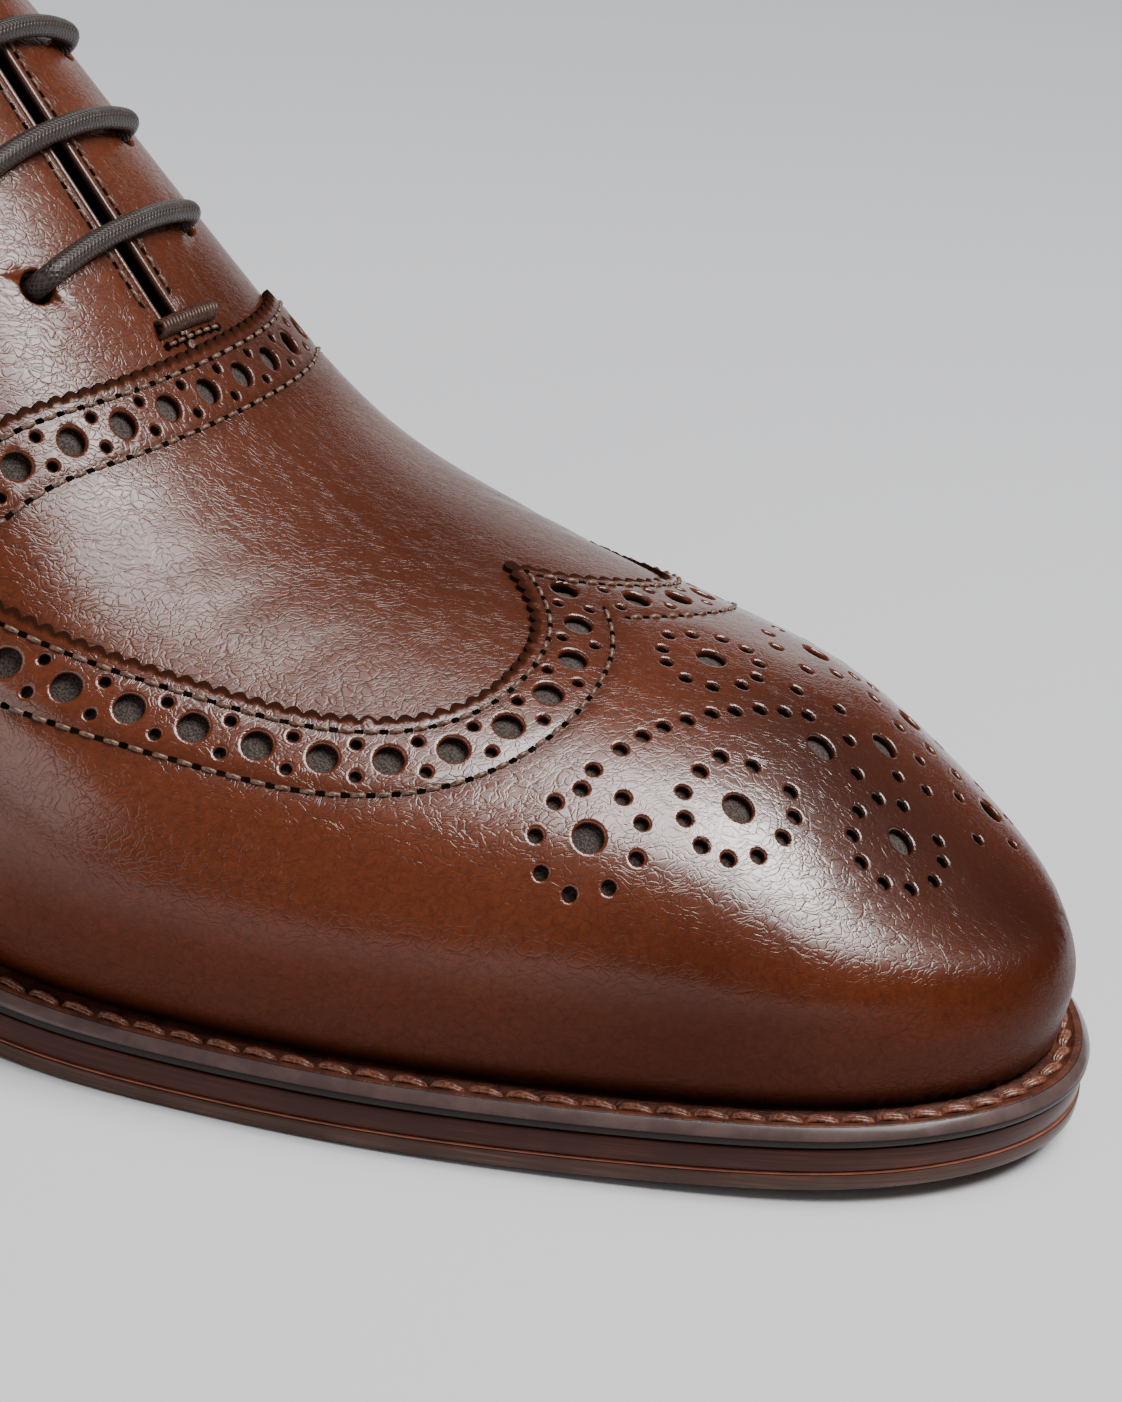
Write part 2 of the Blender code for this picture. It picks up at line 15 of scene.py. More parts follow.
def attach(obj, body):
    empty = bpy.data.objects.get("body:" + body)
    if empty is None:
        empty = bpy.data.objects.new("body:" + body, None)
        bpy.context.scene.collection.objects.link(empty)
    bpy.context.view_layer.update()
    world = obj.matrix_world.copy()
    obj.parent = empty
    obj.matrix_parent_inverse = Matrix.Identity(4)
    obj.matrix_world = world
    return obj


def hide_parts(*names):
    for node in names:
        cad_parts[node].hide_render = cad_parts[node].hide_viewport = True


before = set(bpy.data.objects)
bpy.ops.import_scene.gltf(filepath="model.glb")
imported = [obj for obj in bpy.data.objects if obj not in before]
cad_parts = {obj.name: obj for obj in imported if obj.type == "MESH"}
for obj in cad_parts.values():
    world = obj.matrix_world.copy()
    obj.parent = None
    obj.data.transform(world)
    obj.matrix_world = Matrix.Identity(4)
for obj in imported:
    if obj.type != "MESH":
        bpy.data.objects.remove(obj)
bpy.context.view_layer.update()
bpy.ops.object.select_all(action="DESELECT")

# Sizes of the last, the sole and the upper, as the solids have them, in metres. Places
# along the last are shares of its length
LAST_LENGTH = 0.290
HEEL_SET = 0.034
BALL_WIDTH = 0.094
TOE_ASIDE = 0.0134
INSTEP_HEIGHT = 0.109
WIDEST_HEIGHT = 0.016
WALL_BULGE = 0.0025
TOE_POLE = 0.043
HEEL_POLE = 0.036
POLE_BLEND = 0.010
NOSE_ROUND = 0.0021
NOSE_START = 0.93
NOSE_ANGLE = 0.10
NOSE_SPREAD = 0.35
HEEL_HEIGHT = 0.026
TOP_PIECE = 0.006
TOE_SPRING = 0.0022
OUTSOLE_THICK = 0.0019
MIDSOLE_THICK = 0.0030
WELT_THICK = 0.0022
WELT_WIDTH = 0.0064
HEEL_TAPER = 0.0015
BREAST_HOLLOW = 0.003
SHELL_WALL = 0.0020
VAMP_THICK = 0.0010
CAP_THICK = 0.0018
COUNTER_THICK = 0.0012
TONGUE_THICK = 0.0022
TONGUE_HALF = 0.027
TONGUE_ROOM = 0.0008
SLIT_HALF = 0.0017
COLLAR_BACK = 0.060
EYELET_REACH = 0.0155
EYELET_PAIRS = 5
LACE_RADIUS = 0.00135
SEAM = 0.0003
# The feather line from above: place, half widths on the outer and inner side
FEATHER = (
    (0.03, 0.205, 0.195),
    (0.08, 0.300, 0.290),
    (0.15, 0.345, 0.330),
    (0.25, 0.357, 0.302),
    (0.35, 0.363, 0.262),
    (0.45, 0.405, 0.272),
    (0.55, 0.475, 0.345),
    (0.62, 0.512, 0.435),
    (0.68, 0.522, 0.505),
    (0.74, 0.475, 0.508),
    (0.80, 0.402, 0.496),
    (0.86, 0.306, 0.464),
    (0.91, 0.214, 0.420),
    (0.95, 0.126, 0.367),
    (0.98, 0.026, 0.291),
)
# The ridge: place, height
RIDGE = (
    (-0.02, 1.38),
    (0.12, 1.38),
    (0.22, 1.29),
    (0.32, 1.12),
    (0.40, 1.00),
    (0.46, 0.927),
    (0.52, 0.807),
    (0.58, 0.663),
    (0.64, 0.514),
    (0.70, 0.446),
    (0.76, 0.417),
    (0.82, 0.393),
    (0.88, 0.366),
    (0.94, 0.290),
)
# Sections: place, fullness, lean on the outer and inner side, shift of the ridge, bulge of
# the wall, height of the widest line
SECTIONS = (
    (0.08, 0.05, 0.00, 0.00, 0.000, 1.00, 1.00),
    (0.26, 0.05, 0.05, 0.05, 0.000, 0.80, 1.12),
    (0.45, 0.16, 0.10, 0.04, 0.030, 0.80, 1.00),
    (0.58, 0.12, 0.07, 0.03, 0.018, 0.72, 0.88),
    (0.72, 0.02, 0.03, 0.04, 0.040, 0.52, 0.75),
    (0.84, 0.04, 0.00, 0.01, 0.032, 0.20, 0.75),
    (0.90, 0.08, 0.00, 0.00, 0.018, 0.40, 0.78),
)
# Heel breast and tread: place, height
ARCH = (
    (0.235, 1.0),
    (0.615, 0.0),
)
SPRING_START = 0.73
# From the heel round to the toe: how much of the welt shows, and how high the collar is
WELT_SHOWS = (
    (0.00, 0.45),
    (0.20, 0.42),
    (0.36, 0.50),
    (0.48, 0.80),
    (0.60, 1.00),
    (1.00, 1.00),
)
COLLAR = (
    (0.00, 1.00),
    (0.05, 0.96),
    (0.12, 0.82),
    (0.20, 0.75),
    (0.27, 0.80),
    (0.33, 0.95),
    (0.37, 1.11),
    (0.39, 1.20),
    (0.40, 1.24),
)
FACING_TOP = 0.40
THROAT = 0.584
FIRST_EYELET = 0.558
EYELET_STEP = 0.0315
# Tongue and heel counter: place, half width and height
TONGUE_WIDTHS = (
    (0.345, 0.62),
    (0.352, 0.85),
    (0.366, 0.95),
    (0.450, 1.00),
    (0.655, 0.62),
)
COUNTER_EDGE = (
    (-0.05, 0.62),
    (0.05, 0.60),
    (0.12, 0.52),
    (0.18, 0.36),
    (0.23, 0.12),
    (0.26, -0.10),
)

# Decoration, in metres
SCALLOP = 0.0020
SCALLOP_DEPTH = 0.0007
CUT_SHADE = 0.00032
EDGE_ROW = 0.0019
HOLE_ROW = 0.0053
LOWER_ROW = 0.0093
STITCH = 0.0027
BIG_HOLE = 0.00167
SMALL_HOLE = 0.00064
HOLE_PITCH = 0.007268
PAIR_HALF = 0.0019
MEDAL_HOLE = 0.00170
MEDAL_DOT = 0.00080
THREAD = 0.00026
FACING_ROW = 0.0013
FOLD = 0.00048
WELT_STITCH = 0.0041
WELT_THREAD = 0.00048
EYELET_HOLE = 0.0021
HOLE_MARGIN = 0.0012
BRAID_REPEAT = 0.0085
TACK_PITCH = 0.00062
TACK_HALF = 0.00095
SEAM_SINKS = 0.00020
SEAM_HALF = 0.0006
SEAM_SHADE = 0.0011
EDGE_SINKS = 0.00025
STITCH_SINKS = 0.00018
MARK_SINKS = 0.00013
LIFT_GROOVE = 0.00022

# Points along and round a lace, and round large and small holes
LACE_RINGS = 90
LACE_SIDES = 16
LARGE_FROM = 0.0012
LARGE_RIM = 20
SMALL_RIM = 12

# How far the upper and lower faces of sheets lie off the last
CAP_BACKING = (0.0011, 0.0004)
THROAT_BACKING = (0.00030, -0.00010)
QUARTER_LEATHER = (0.0, -0.0010)
QUARTER_LINING = (-0.0011, -0.0020)
TOE_LINING = (-0.0004, -0.0014)

# Distances between net points on leathers and on plain sheets
FINE_NET = 0.0013
COUNTER_NET = 0.0015
QUARTER_NET = 0.0019
SHEET_NET = 0.003
LINING_NET = 0.004

# Edges of the leathers on the flat pattern of the front, in millimetres: from the outer
# side of the waist to the peak on the centre line, then to the inner side
WING_OUTER = (
    (108.5, -97), (112, -88), (117, -78), (123, -68.5), (131, -60), (140, -52.2), (148.3, -46.3),
    (154.2, -43.2),
    (162.8, -39.2), (171.4, -35.3), (180.6, -31.0), (185.8, -27.6), (190.6, -22.7), (193.5, -16.4),
    (193.9, -9.2), (191.8, -2.1), (188.3, 2.2), (182.6, 6.4),
)
WING_INNER = (
    (182.6, 6.4), (188.4, 11.0), (191.3, 15.2), (193.8, 21.6), (193.8, 27.5), (190.7, 33.5), (184.0, 38.6),
    (176.0, 41.4), (168.0, 42.6), (160.0, 42.4), (151.0, 42.4), (142.0, 44.4), (133.0, 48.6), (124.0, 56.0),
    (117.5, 66.0), (113.0, 78.0),
)
# Where the wing, and below the throat, comes down to the welt on the outer and inner side
WING_FEET = (0.468, 0.505)
THROAT_EDGE = (
    (127.6, -88.0), (128.0, -80.0), (129.5, -69.4), (134.0, -51.4), (136.6, -41.7), (138.5, -34.2),
    (142.0, -20.3),
    (143.2, -2.8), (139.4, 18.2), (134.6, 27.9), (132.0, 36.0), (130.6, 45.0), (129.3, 58.0),
    (128.4, 70.0), (127.6, 79.0),
)
THROAT_FEET = (0.532, 0.556)
BAR_TACK = ((140.6, -6.6), (140.4, 4.1))
CENTRE = ((182.6, 6.4), (203.0, 9.4))
# The medallion on the same pattern, in millimetres: large holes, then the dots round and
# between them
MEDAL_LARGE = (
    (212.3, -24.1), (223.1, -9.7), (238.8, 6.1), (209.2, 9.5), (225.2, 7.2), (214.9, 27.1), (227.6, 31.0),
    (229.4, 18.0), (242.3, 29.7), (214.0, 44.6),
)
MEDAL_DOTS = (
    (207.4, -23.1), (207.6, -27.4), (209.9, -30.2), (213.4, -30.1), (216.6, -27.0), (217.6, -22.7),
    (216.1, -19.2), (213.0, -18.0), (208.9, -20.0),
    (208.7, -17.1), (209.6, -12.7), (210.5, -9.3), (211.5, -6.4), (212.9, -3.5), (214.3, -0.3),
    (215.9, 2.3), (217.7, 5.2), (219.7, 7.7), (221.7, 10.2),
    (217.6, -9.0), (217.6, -12.8), (219.4, -15.5), (222.4, -16.8), (225.5, -15.8), (227.9, -12.8),
    (228.8, -8.5), (228.3, -5.0), (226.2, -2.5), (218.2, -5.4), (221.4, -3.4),
    (233.1, 3.7), (234.4, -0.1), (237.1, -2.2), (240.5, -1.7), (243.2, 1.2), (244.5, 5.7),
    (243.7, 9.9), (241.6, 12.3), (236.0, 11.4), (233.6, 8.3),
    (209.2, 3.0), (212.1, 4.1), (206.1, 4.1), (204.4, 6.2), (203.4, 9.6), (205.1, 12.3), (207.8, 14.9),
    (210.8, 15.4), (213.3, 13.7), (214.6, 10.6), (214.2, 7.4),
    (218.6, 13.2), (223.1, 16.3), (232.9, 22.7), (233.1, 15.1), (236.3, 18.4), (226.6, 12.4), (230.0, 8.6),
    (244.4, 20.2), (247.2, 27.0), (243.9, 34.0), (238.6, 34.6), (236.4, 29.0), (239.0, 24.4),
    (232.2, 28.0), (231.6, 34.4), (227.8, 37.2), (223.4, 35.6), (221.8, 30.8), (223.6, 26.4),
    (228.2, 25.2), (219.0, 24.2), (217.0, 19.4), (212.4, 20.6),
    (209.8, 24.0), (209.0, 29.0), (211.6, 33.0), (216.4, 33.6), (219.8, 28.6), (210.0, 39.2),
    (208.6, 44.0), (211.0, 48.6), (215.8, 49.8), (218.8, 46.6), (218.8, 41.6), (215.0, 38.4),
)

# Soft creases seen from above, in millimetres: start, end, depth, half width
CREASES = (
    (164, -33, 171, -10, 0.13, 2.4),
    (173, -33, 180, -14, 0.08, 2.2),
    (156, -35, 161, -19, 0.13, 2.4),
    (171, -6, 177, 12, 0.08, 2.6),
    (168, 22, 175, 38, 0.20, 2.4),
    (177, 24, 184, 40, 0.16, 2.2),
    (122, -28, 137, -42, 0.18, 2.8),
    (108, -32, 124, -46, 0.20, 3.0),
    (120, 30, 136, 42, 0.18, 2.8),
)

# Painted shade: where the dye is painted darker on the toe, along the ridge and on the inner side, standing
# in for shade where the light falls off, in millimetres: place, radius, strength
PAINTED_SHADE_SPOTS = (
    (236, 8, 34, 15, 0.75),
    (251, 14, 26, 16, 0.95),
    (224, 6, 40, 14, 0.75),
    (172, 8, 50, 24, 0.60),
    (192, 4, 46, 12, 0.35),
    (142, 12, 64, 16, 0.60),
    (230, -25, 21, 14, 0.40),
)

SOLE_EDGE = OUTSOLE_THICK + MIDSOLE_THICK + WELT_THICK + 2 * SEAM
TIP = LAST_LENGTH - HEEL_SET
HALF_ROUND = 0.328


def spline(table):
    """Natural cubic curve through a table whose first column rises."""
    table = np.asarray(table, float)
    x, y = table[:, 0], table[:, 1:]
    n = len(x)
    h = np.diff(x)
    system = np.zeros((n, n))
    right = np.zeros_like(y)
    system[0, 0] = system[-1, -1] = 1.0
    for i in range(1, n - 1):
        system[i, i - 1:i + 2] = h[i - 1], 2 * (h[i - 1] + h[i]), h[i]
        right[i] = 6 * ((y[i + 1] - y[i]) / h[i] - (y[i] - y[i - 1]) / h[i - 1])
    bend = np.linalg.solve(system, right)

    def curve(at):
        at = np.asarray(at, float)
        i = np.clip(np.searchsorted(x, at, side="right") - 1, 0, n - 2)
        step = h[i][..., None]
        a = (x[i + 1] - at)[..., None] / step
        b = (at - x[i])[..., None] / step
        return a * y[i] + b * y[i + 1] + ((a**3 - a) * bend[i] + (b**3 - b) * bend[i + 1]) * step**2 / 6

    return curve


def eased(table):
    """Like spline, for one value that must not overshoot."""
    table = np.asarray(table, float)

    def curve(at):
        at = np.asarray(at, float)
        i = np.clip(np.searchsorted(table[:, 0], at, side="right") - 1, 0, len(table) - 2)
        u = np.clip((at - table[i, 0]) / (table[i + 1, 0] - table[i, 0]), 0, 1)
        return table[i, 1] + (table[i + 1, 1] - table[i, 1]) * u * u * (3 - 2 * u)

    return curve


def run_along(points):
    """Length of the way from the first point to each one."""
    return np.concatenate([[0.0], np.cumsum(np.linalg.norm(np.diff(points, axis=0), axis=1))])


def feather_ring():
    """Closed curve of the feather line: heel, outer side, toe, inner side."""
    rows = np.asarray(FEATHER)
    x = rows[:, 0] * LAST_LENGTH - HEEL_SET
    outer = np.column_stack([x, -rows[:, 1] * BALL_WIDTH])
    inner = np.column_stack([x, rows[:, 2] * BALL_WIDTH])
    ring = np.vstack([[(-HEEL_SET, 0.0)], outer, [(TIP, TOE_ASIDE)], inner[::-1]])
    wrap = 3
    points = np.vstack([ring[-wrap:], ring, ring[:wrap + 1]])
    along = run_along(points)
    curve = spline(np.column_stack([along, points]))
    return curve, along[wrap], along[wrap + 1 + len(outer)], along[wrap + len(ring)]


RING, AT_HEEL, AT_TOE, AT_END = feather_ring()
RIDGE_AT = spline(RIDGE)
SECTION_AT = spline(SECTIONS)
WELT_AT = eased(WELT_SHOWS)
COLLAR_AT = spline(COLLAR)


def feather(t, side):
    """Plan point and outward direction of the feather line, t from heel 0 to toe 1."""
    t = np.asarray(t, float)
    start = AT_HEEL if side < 0 else AT_END
    u = start + (AT_TOE - start) * t
    step = 0.00001
    way = RING(u + step) - RING(u - step)
    way /= np.linalg.norm(way, axis=-1, keepdims=True)
    return RING(u), np.stack([way[..., 1], -way[..., 0]], -1)


def share(x):
    """Place along the last, from heel 0 to toe 1."""
    return (x + HEEL_SET) / LAST_LENGTH


def sole_height(x):
    """Height of the sole's underside: heel seat, arch, flat tread and toe spring."""
    (breast, high), (tread, low) = ARCH
    w = np.clip((tread - share(x)) / (tread - breast), 0, 1)
    arch = HEEL_HEIGHT * (low + (high - low) * w * w * (3 - 2 * w))
    lift = np.clip((share(x) - SPRING_START) / (1 - SPRING_START), 0, 2)
    return arch + TOE_SPRING * lift**2


MIDDLE_T = np.linspace(0, 1, 81)
MIDDLE = (feather(MIDDLE_T, -1)[0] + feather(MIDDLE_T, 1)[0]) / 2


def stop_short(past):
    """Distance past a pole, blended to nothing over POLE_BLEND on both sides of it."""
    blend = -(POLE_BLEND - past)**2 / (4 * POLE_BLEND)
    return np.where(past < -POLE_BLEND, past, np.where(past > POLE_BLEND, 0.0, blend))


def rib(t, angle, side):
    """Point of the last's surface on rib t: the angle runs from the feather line at
    -90 degrees over the widest line at 0 to the ridge at 90 degrees."""
    t, angle = np.broadcast_arrays(np.asarray(t, float), np.asarray(angle, float))
    here, out = feather(t, side)
    there, _ = feather(t, -side)
    x = ((here + there) / 2)[..., 0]
    toe_pole = TIP - TOE_POLE
    heel_pole = HEEL_POLE - HEEL_SET
    x = toe_pole + stop_short(x - toe_pole)
    x = heel_pole - stop_short(heel_pole - x)
    section = SECTION_AT(np.clip(share(x), SECTIONS[0][0], SECTIONS[-1][0]))
    full = section[..., 0]
    lean = section[..., 1] if side < 0 else section[..., 2]
    bulge = section[..., 4] * WALL_BULGE
    widest = section[..., 5] * WIDEST_HEIGHT
    middle = np.interp(x, MIDDLE[:, 0], MIDDLE[:, 1])
    spine = np.stack([x, middle + section[..., 3] * BALL_WIDTH], -1)
    up = np.clip(angle, 0, None)
    reach = np.cos(up) * (1 + (full - lean) * np.sin(up)**2)
    rise = np.sin(up) * (1 + full * np.cos(up)**2)
    tuck = math.radians(35)
    down = math.pi / 2 + np.clip(angle, None, 0) * (math.pi / 2 - tuck) / (math.pi / 2)
    stand = bulge * (np.sin(down) - math.sin(tuck)) / (1 - math.sin(tuck))
    climb = widest * (math.cos(tuck) - np.cos(down)) / math.cos(tuck)
    near_tip = np.clip((share(here[..., 0]) - NOSE_START) / (1 - NOSE_START), 0, 1)
    nose = NOSE_ROUND * near_tip**2 * (3 - 2 * near_tip)
    nose = nose * np.exp(-((angle - NOSE_ANGLE) / NOSE_SPREAD)**2)
    plan = spine + (here + out * (stand - nose)[..., None] - spine) * reach[..., None]
    base = sole_height(here[..., 0]) + SOLE_EDGE + SEAM
    ridge = RIDGE_AT(share(plan[..., 0]))[..., 0] * INSTEP_HEIGHT
    height = np.where(angle > 0, base + widest + (ridge - base - widest) * rise, base + climb)
    return np.concatenate([plan, height[..., None]], -1)


def skin(t, angle, side, out):
    """Point at distance out from the last's surface, along its own normal; at the
    feather line the normal is kept level, so every leather stands on the welt."""
    t, angle, out = np.broadcast_arrays(*(np.asarray(value, float) for value in (t, angle, out)))
    near_t = np.clip(t, 0.002, 0.998)
    near_a = np.clip(angle, -1.5, 1.56)
    along = rib(near_t + 0.002, near_a, side) - rib(near_t - 0.002, near_a, side)
    over = rib(near_t, near_a + 0.008, side) - rib(near_t, near_a - 0.008, side)
    normal = -side * np.cross(along, over)
    normal /= np.linalg.norm(normal, axis=-1, keepdims=True)
    normal[..., 2] *= np.clip((angle + math.pi / 2) / 0.3, 0, 1)
    normal /= np.linalg.norm(normal, axis=-1, keepdims=True)
    return rib(t, angle, side) + normal * out[..., None]


def angle_where(t, side, test):
    """Angle on rib t at which test(point) turns true, going up from the widest line."""
    low = np.zeros_like(t)
    high = np.full_like(t, math.pi / 2)
    for _ in range(30):
        middle = (low + high) / 2
        above = test(rib(t, middle, side))
        low = np.where(above, low, middle)
        high = np.where(above, middle, high)
    return (low + high) / 2


def angle_at_reach(t, side, reach):
    """Angle on rib t at which the surface lies at this distance from the ridge."""
    ridge = rib(t, math.pi / 2, -1)
    return angle_where(t, side, lambda p: np.linalg.norm(p - ridge, axis=-1) < reach)


def seat_height():
    """Height of the welt's top at the heel."""
    return HEEL_HEIGHT + SOLE_EDGE


def welt_reach(t):
    """How far the welt stands out beyond the feather line."""
    return WELT_WIDTH * WELT_AT(t)


# Flat patterns of the last. RIBS and ANGLES are the net over which lengths are measured,
# CLIMB the length up each rib from the feather line
RIBS = np.linspace(0, 1, 401)
ANGLES = np.linspace(-math.pi / 2, math.pi / 2, 161)


def measure_last(side):
    """For every rib: lengths up it, its ridge point from above and its way outward."""
    net = rib(RIBS[:, None], ANGLES, side)
    steps = np.linalg.norm(np.diff(net, axis=1), axis=2)
    climb = np.concatenate([np.zeros((len(RIBS), 1)), np.cumsum(steps, axis=1)], axis=1)
    spine = net[:, -1, :2]
    way = feather(RIBS, side)[0] - spine
    way /= np.linalg.norm(way, axis=1, keepdims=True)
    return climb, spine, way


LAST_NET = {side: measure_last(side) for side in (-1, 1)}


def between_ribs(t, table):
    """Value at t of a table with one row for each rib."""
    at = np.clip(t, 0, 1) * (len(RIBS) - 1)
    i = np.minimum(at.astype(int), len(RIBS) - 2)
    w = at - i
    if table.ndim > 1:
        w = w[:, None]
    return table[i] * (1 - w) + table[i + 1] * w


def angle_at_climb(t, climb, side):
    """Angle on rib t at this length up the surface from the feather line."""
    row = between_ribs(t, LAST_NET[side][0])
    k = np.clip((row <= climb[:, None]).sum(1) - 1, 0, len(ANGLES) - 2)
    n = np.arange(len(t))
    step = np.clip((climb - row[n, k]) / (row[n, k + 1] - row[n, k]), 0, 1)
    return ANGLES[k] + (ANGLES[k + 1] - ANGLES[k]) * step


def climb_at(t, angle, side):
    """Length up rib t from the feather line to this angle."""
    row = between_ribs(t, LAST_NET[side][0])
    at = (angle + math.pi / 2) / math.pi * (len(ANGLES) - 1)
    k = np.clip(at.astype(int), 0, len(ANGLES) - 2)
    n = np.arange(len(t))
    return row[n, k] + (row[n, k + 1] - row[n, k]) * (at - k)


def front_pattern(points):
    """Pattern of the vamp and toe, laid out both ways from the ridge as seen from above:
    gives rib, angle and side of each point."""
    found = []
    for side in (-1, 1):
        low = np.full(len(points), 0.30)
        high = np.ones(len(points))
        for _ in range(24):
            middle = (low + high) / 2
            spine = between_ribs(middle, LAST_NET[side][1])
            way = between_ribs(middle, LAST_NET[side][2])
            off = points - spine
            ahead = -side * (way[:, 0] * off[:, 1] - way[:, 1] * off[:, 0]) > 0
            low = np.where(ahead, middle, low)
            high = np.where(ahead, high, middle)
        off = points - between_ribs(low, LAST_NET[side][1])
        reach = (off * between_ribs(low, LAST_NET[side][2])).sum(1)
        beyond = (low > 0.9999) & (np.abs(off[:, 1]) > 1e-9)
        found.append((low, reach, beyond))
    (t_out, reach_out, beyond_out), (t_in, reach_in, _) = found
    side = np.where((reach_out >= 0) & ~beyond_out, -1, 1)
    t = np.where(side < 0, t_out, t_in)
    reach = np.clip(np.where(side < 0, reach_out, reach_in), 0, None)
    angle = np.zeros(len(points))
    for hand in (-1, 1):
        mine = side == hand
        total = between_ribs(t[mine], LAST_NET[hand][0][:, -1])
        angle[mine] = angle_at_climb(t[mine], total - reach[mine], hand)
    return t, angle, side


def round_pattern(points):
    """Pattern of the quarters, unrolled round the heel: across is the way along the
    feather line, outer side negative, and up is the length up the rib."""
    side = np.where(points[:, 0] < 0, -1, 1)
    t = np.clip(np.abs(points[:, 0]) / HALF_ROUND, 0, 1)
    angle = np.zeros(len(points))
    for hand in (-1, 1):
        mine = side == hand
        angle[mine] = angle_at_climb(t[mine], points[mine, 1], hand)
    return t, angle, side


def front_foot(t, side):
    """Pattern points of the front at the feather line."""
    climb, spine, way = LAST_NET[side]
    total = between_ribs(t, climb[:, -1])[:, None]
    return between_ribs(t, spine) + between_ribs(t, way) * (total - 0.0001)


def on_last(pattern, points, out):
    """Places pattern points in space, at distance out from the last."""
    points = np.asarray(points, float)
    out = np.broadcast_to(np.asarray(out, float), len(points))
    t, angle, side = pattern(points)
    place = np.empty((len(points), 3))
    for hand in (-1, 1):
        mine = side == hand
        place[mine] = skin(t[mine], angle[mine], hand, out[mine])
    return place


def stretch(pattern, points):
    """How lengths on the pattern turn into true lengths at each point."""
    step = 0.0002
    moves = np.eye(2) * step
    along = [on_last(pattern, points + move, 0.0) - on_last(pattern, points - move, 0.0) for move in moves]
    pair = np.stack(along, 1) / (2 * step)
    return pair @ np.swapaxes(pair, 1, 2) + np.eye(2) * 0.01


def circles(pattern, centres, radii, count):
    """Pattern points of true circles on the leather, one row of points for each centre."""
    centres = np.asarray(centres, float)
    size, turn = np.linalg.eigh(stretch(pattern, centres))
    narrow = turn * (1 / np.sqrt(size))[:, None, :] @ np.swapaxes(turn, 1, 2)
    angle = np.linspace(0, 2 * math.pi, count, endpoint=False)
    ring = np.column_stack([np.cos(angle), np.sin(angle)])
    return centres[:, None] + np.asarray(radii)[:, None, None] * (ring @ narrow)


def beside(pattern, line, distance):
    """Line moved to its left on the pattern by a true distance."""
    way = np.gradient(line, axis=0)
    pull = stretch(pattern, line)
    bent = np.einsum("nij,nj->ni", pull, way)
    left = np.column_stack([-bent[:, 1], bent[:, 0]])
    length = np.sqrt(np.einsum("ni,nij,nj->n", left, pull, left))
    return line + left / length[:, None] * np.asarray(distance).reshape(-1, 1)


def smooth_line(points):
    """Close-set points of a smooth line through the given ones."""
    points = np.asarray(points, float)
    along = run_along(points)
    return spline(np.column_stack([along, points]))(np.linspace(0, along[-1], int(along[-1] / 0.0004)))


def true_run(pattern, line):
    """Length over the last from a pattern line's first point to each one."""
    return run_along(on_last(pattern, line, 0.0))


def even_steps(pattern, line, pitch, shift=0.0):
    """Points along a pattern line at even true distances, starting shift of a pitch in."""
    run = true_run(pattern, line)
    count = max(1, round(run[-1] / pitch))
    at = (np.arange(count + (shift == 0)) + shift) * run[-1] / count
    return np.column_stack([np.interp(at, run, line[:, k]) for k in (0, 1)])


def pinked(pattern, line, sign):
    """Line with the small round teeth of a pinked edge, out to one side."""
    run = true_run(pattern, line)
    teeth = round(run[-1] / SCALLOP)
    at = np.linspace(0, run[-1], teeth * 8 + 1)
    even = np.column_stack([np.interp(at, run, line[:, k]) for k in (0, 1)])
    out = SCALLOP_DEPTH * np.abs(np.sin(math.pi * np.arange(len(even)) / 8)) - SCALLOP_DEPTH / 2
    return beside(pattern, even, sign * out)


def inside(points, outline):
    """Which points lie inside a closed outline."""
    x, y = points[:, 0], points[:, 1]
    within = np.zeros(len(points), bool)
    for a, b in zip(outline, np.roll(outline, -1, axis=0)):
        if a[1] != b[1]:
            crosses = (a[1] > y) != (b[1] > y)
            within ^= crosses & (x < (b[0] - a[0]) * (y - a[1]) / (b[1] - a[1]) + a[0])
    return within


def tree_of(points):
    """Search tree for the nearest of these points."""
    tree = KDTree(len(points))
    for i, p in enumerate(points):
        tree.insert(p, i)
    tree.balance()
    return tree


def nearness(points, line):
    """Distance of each point in space from the nearest of a line's points."""
    tree = tree_of(line)
    return np.array([tree.find(p)[2] for p in points])


def flat_net(spacing, corner, far):
    """Six-sided net of points over a rectangle."""
    net = []
    for n, y in enumerate(np.arange(corner[1], far[1], spacing * 0.866)):
        x = np.arange(corner[0] + spacing / 2 * (n % 2), far[0], spacing)
        net.append(np.column_stack([x, np.full(len(x), y)]))
    return np.vstack(net)


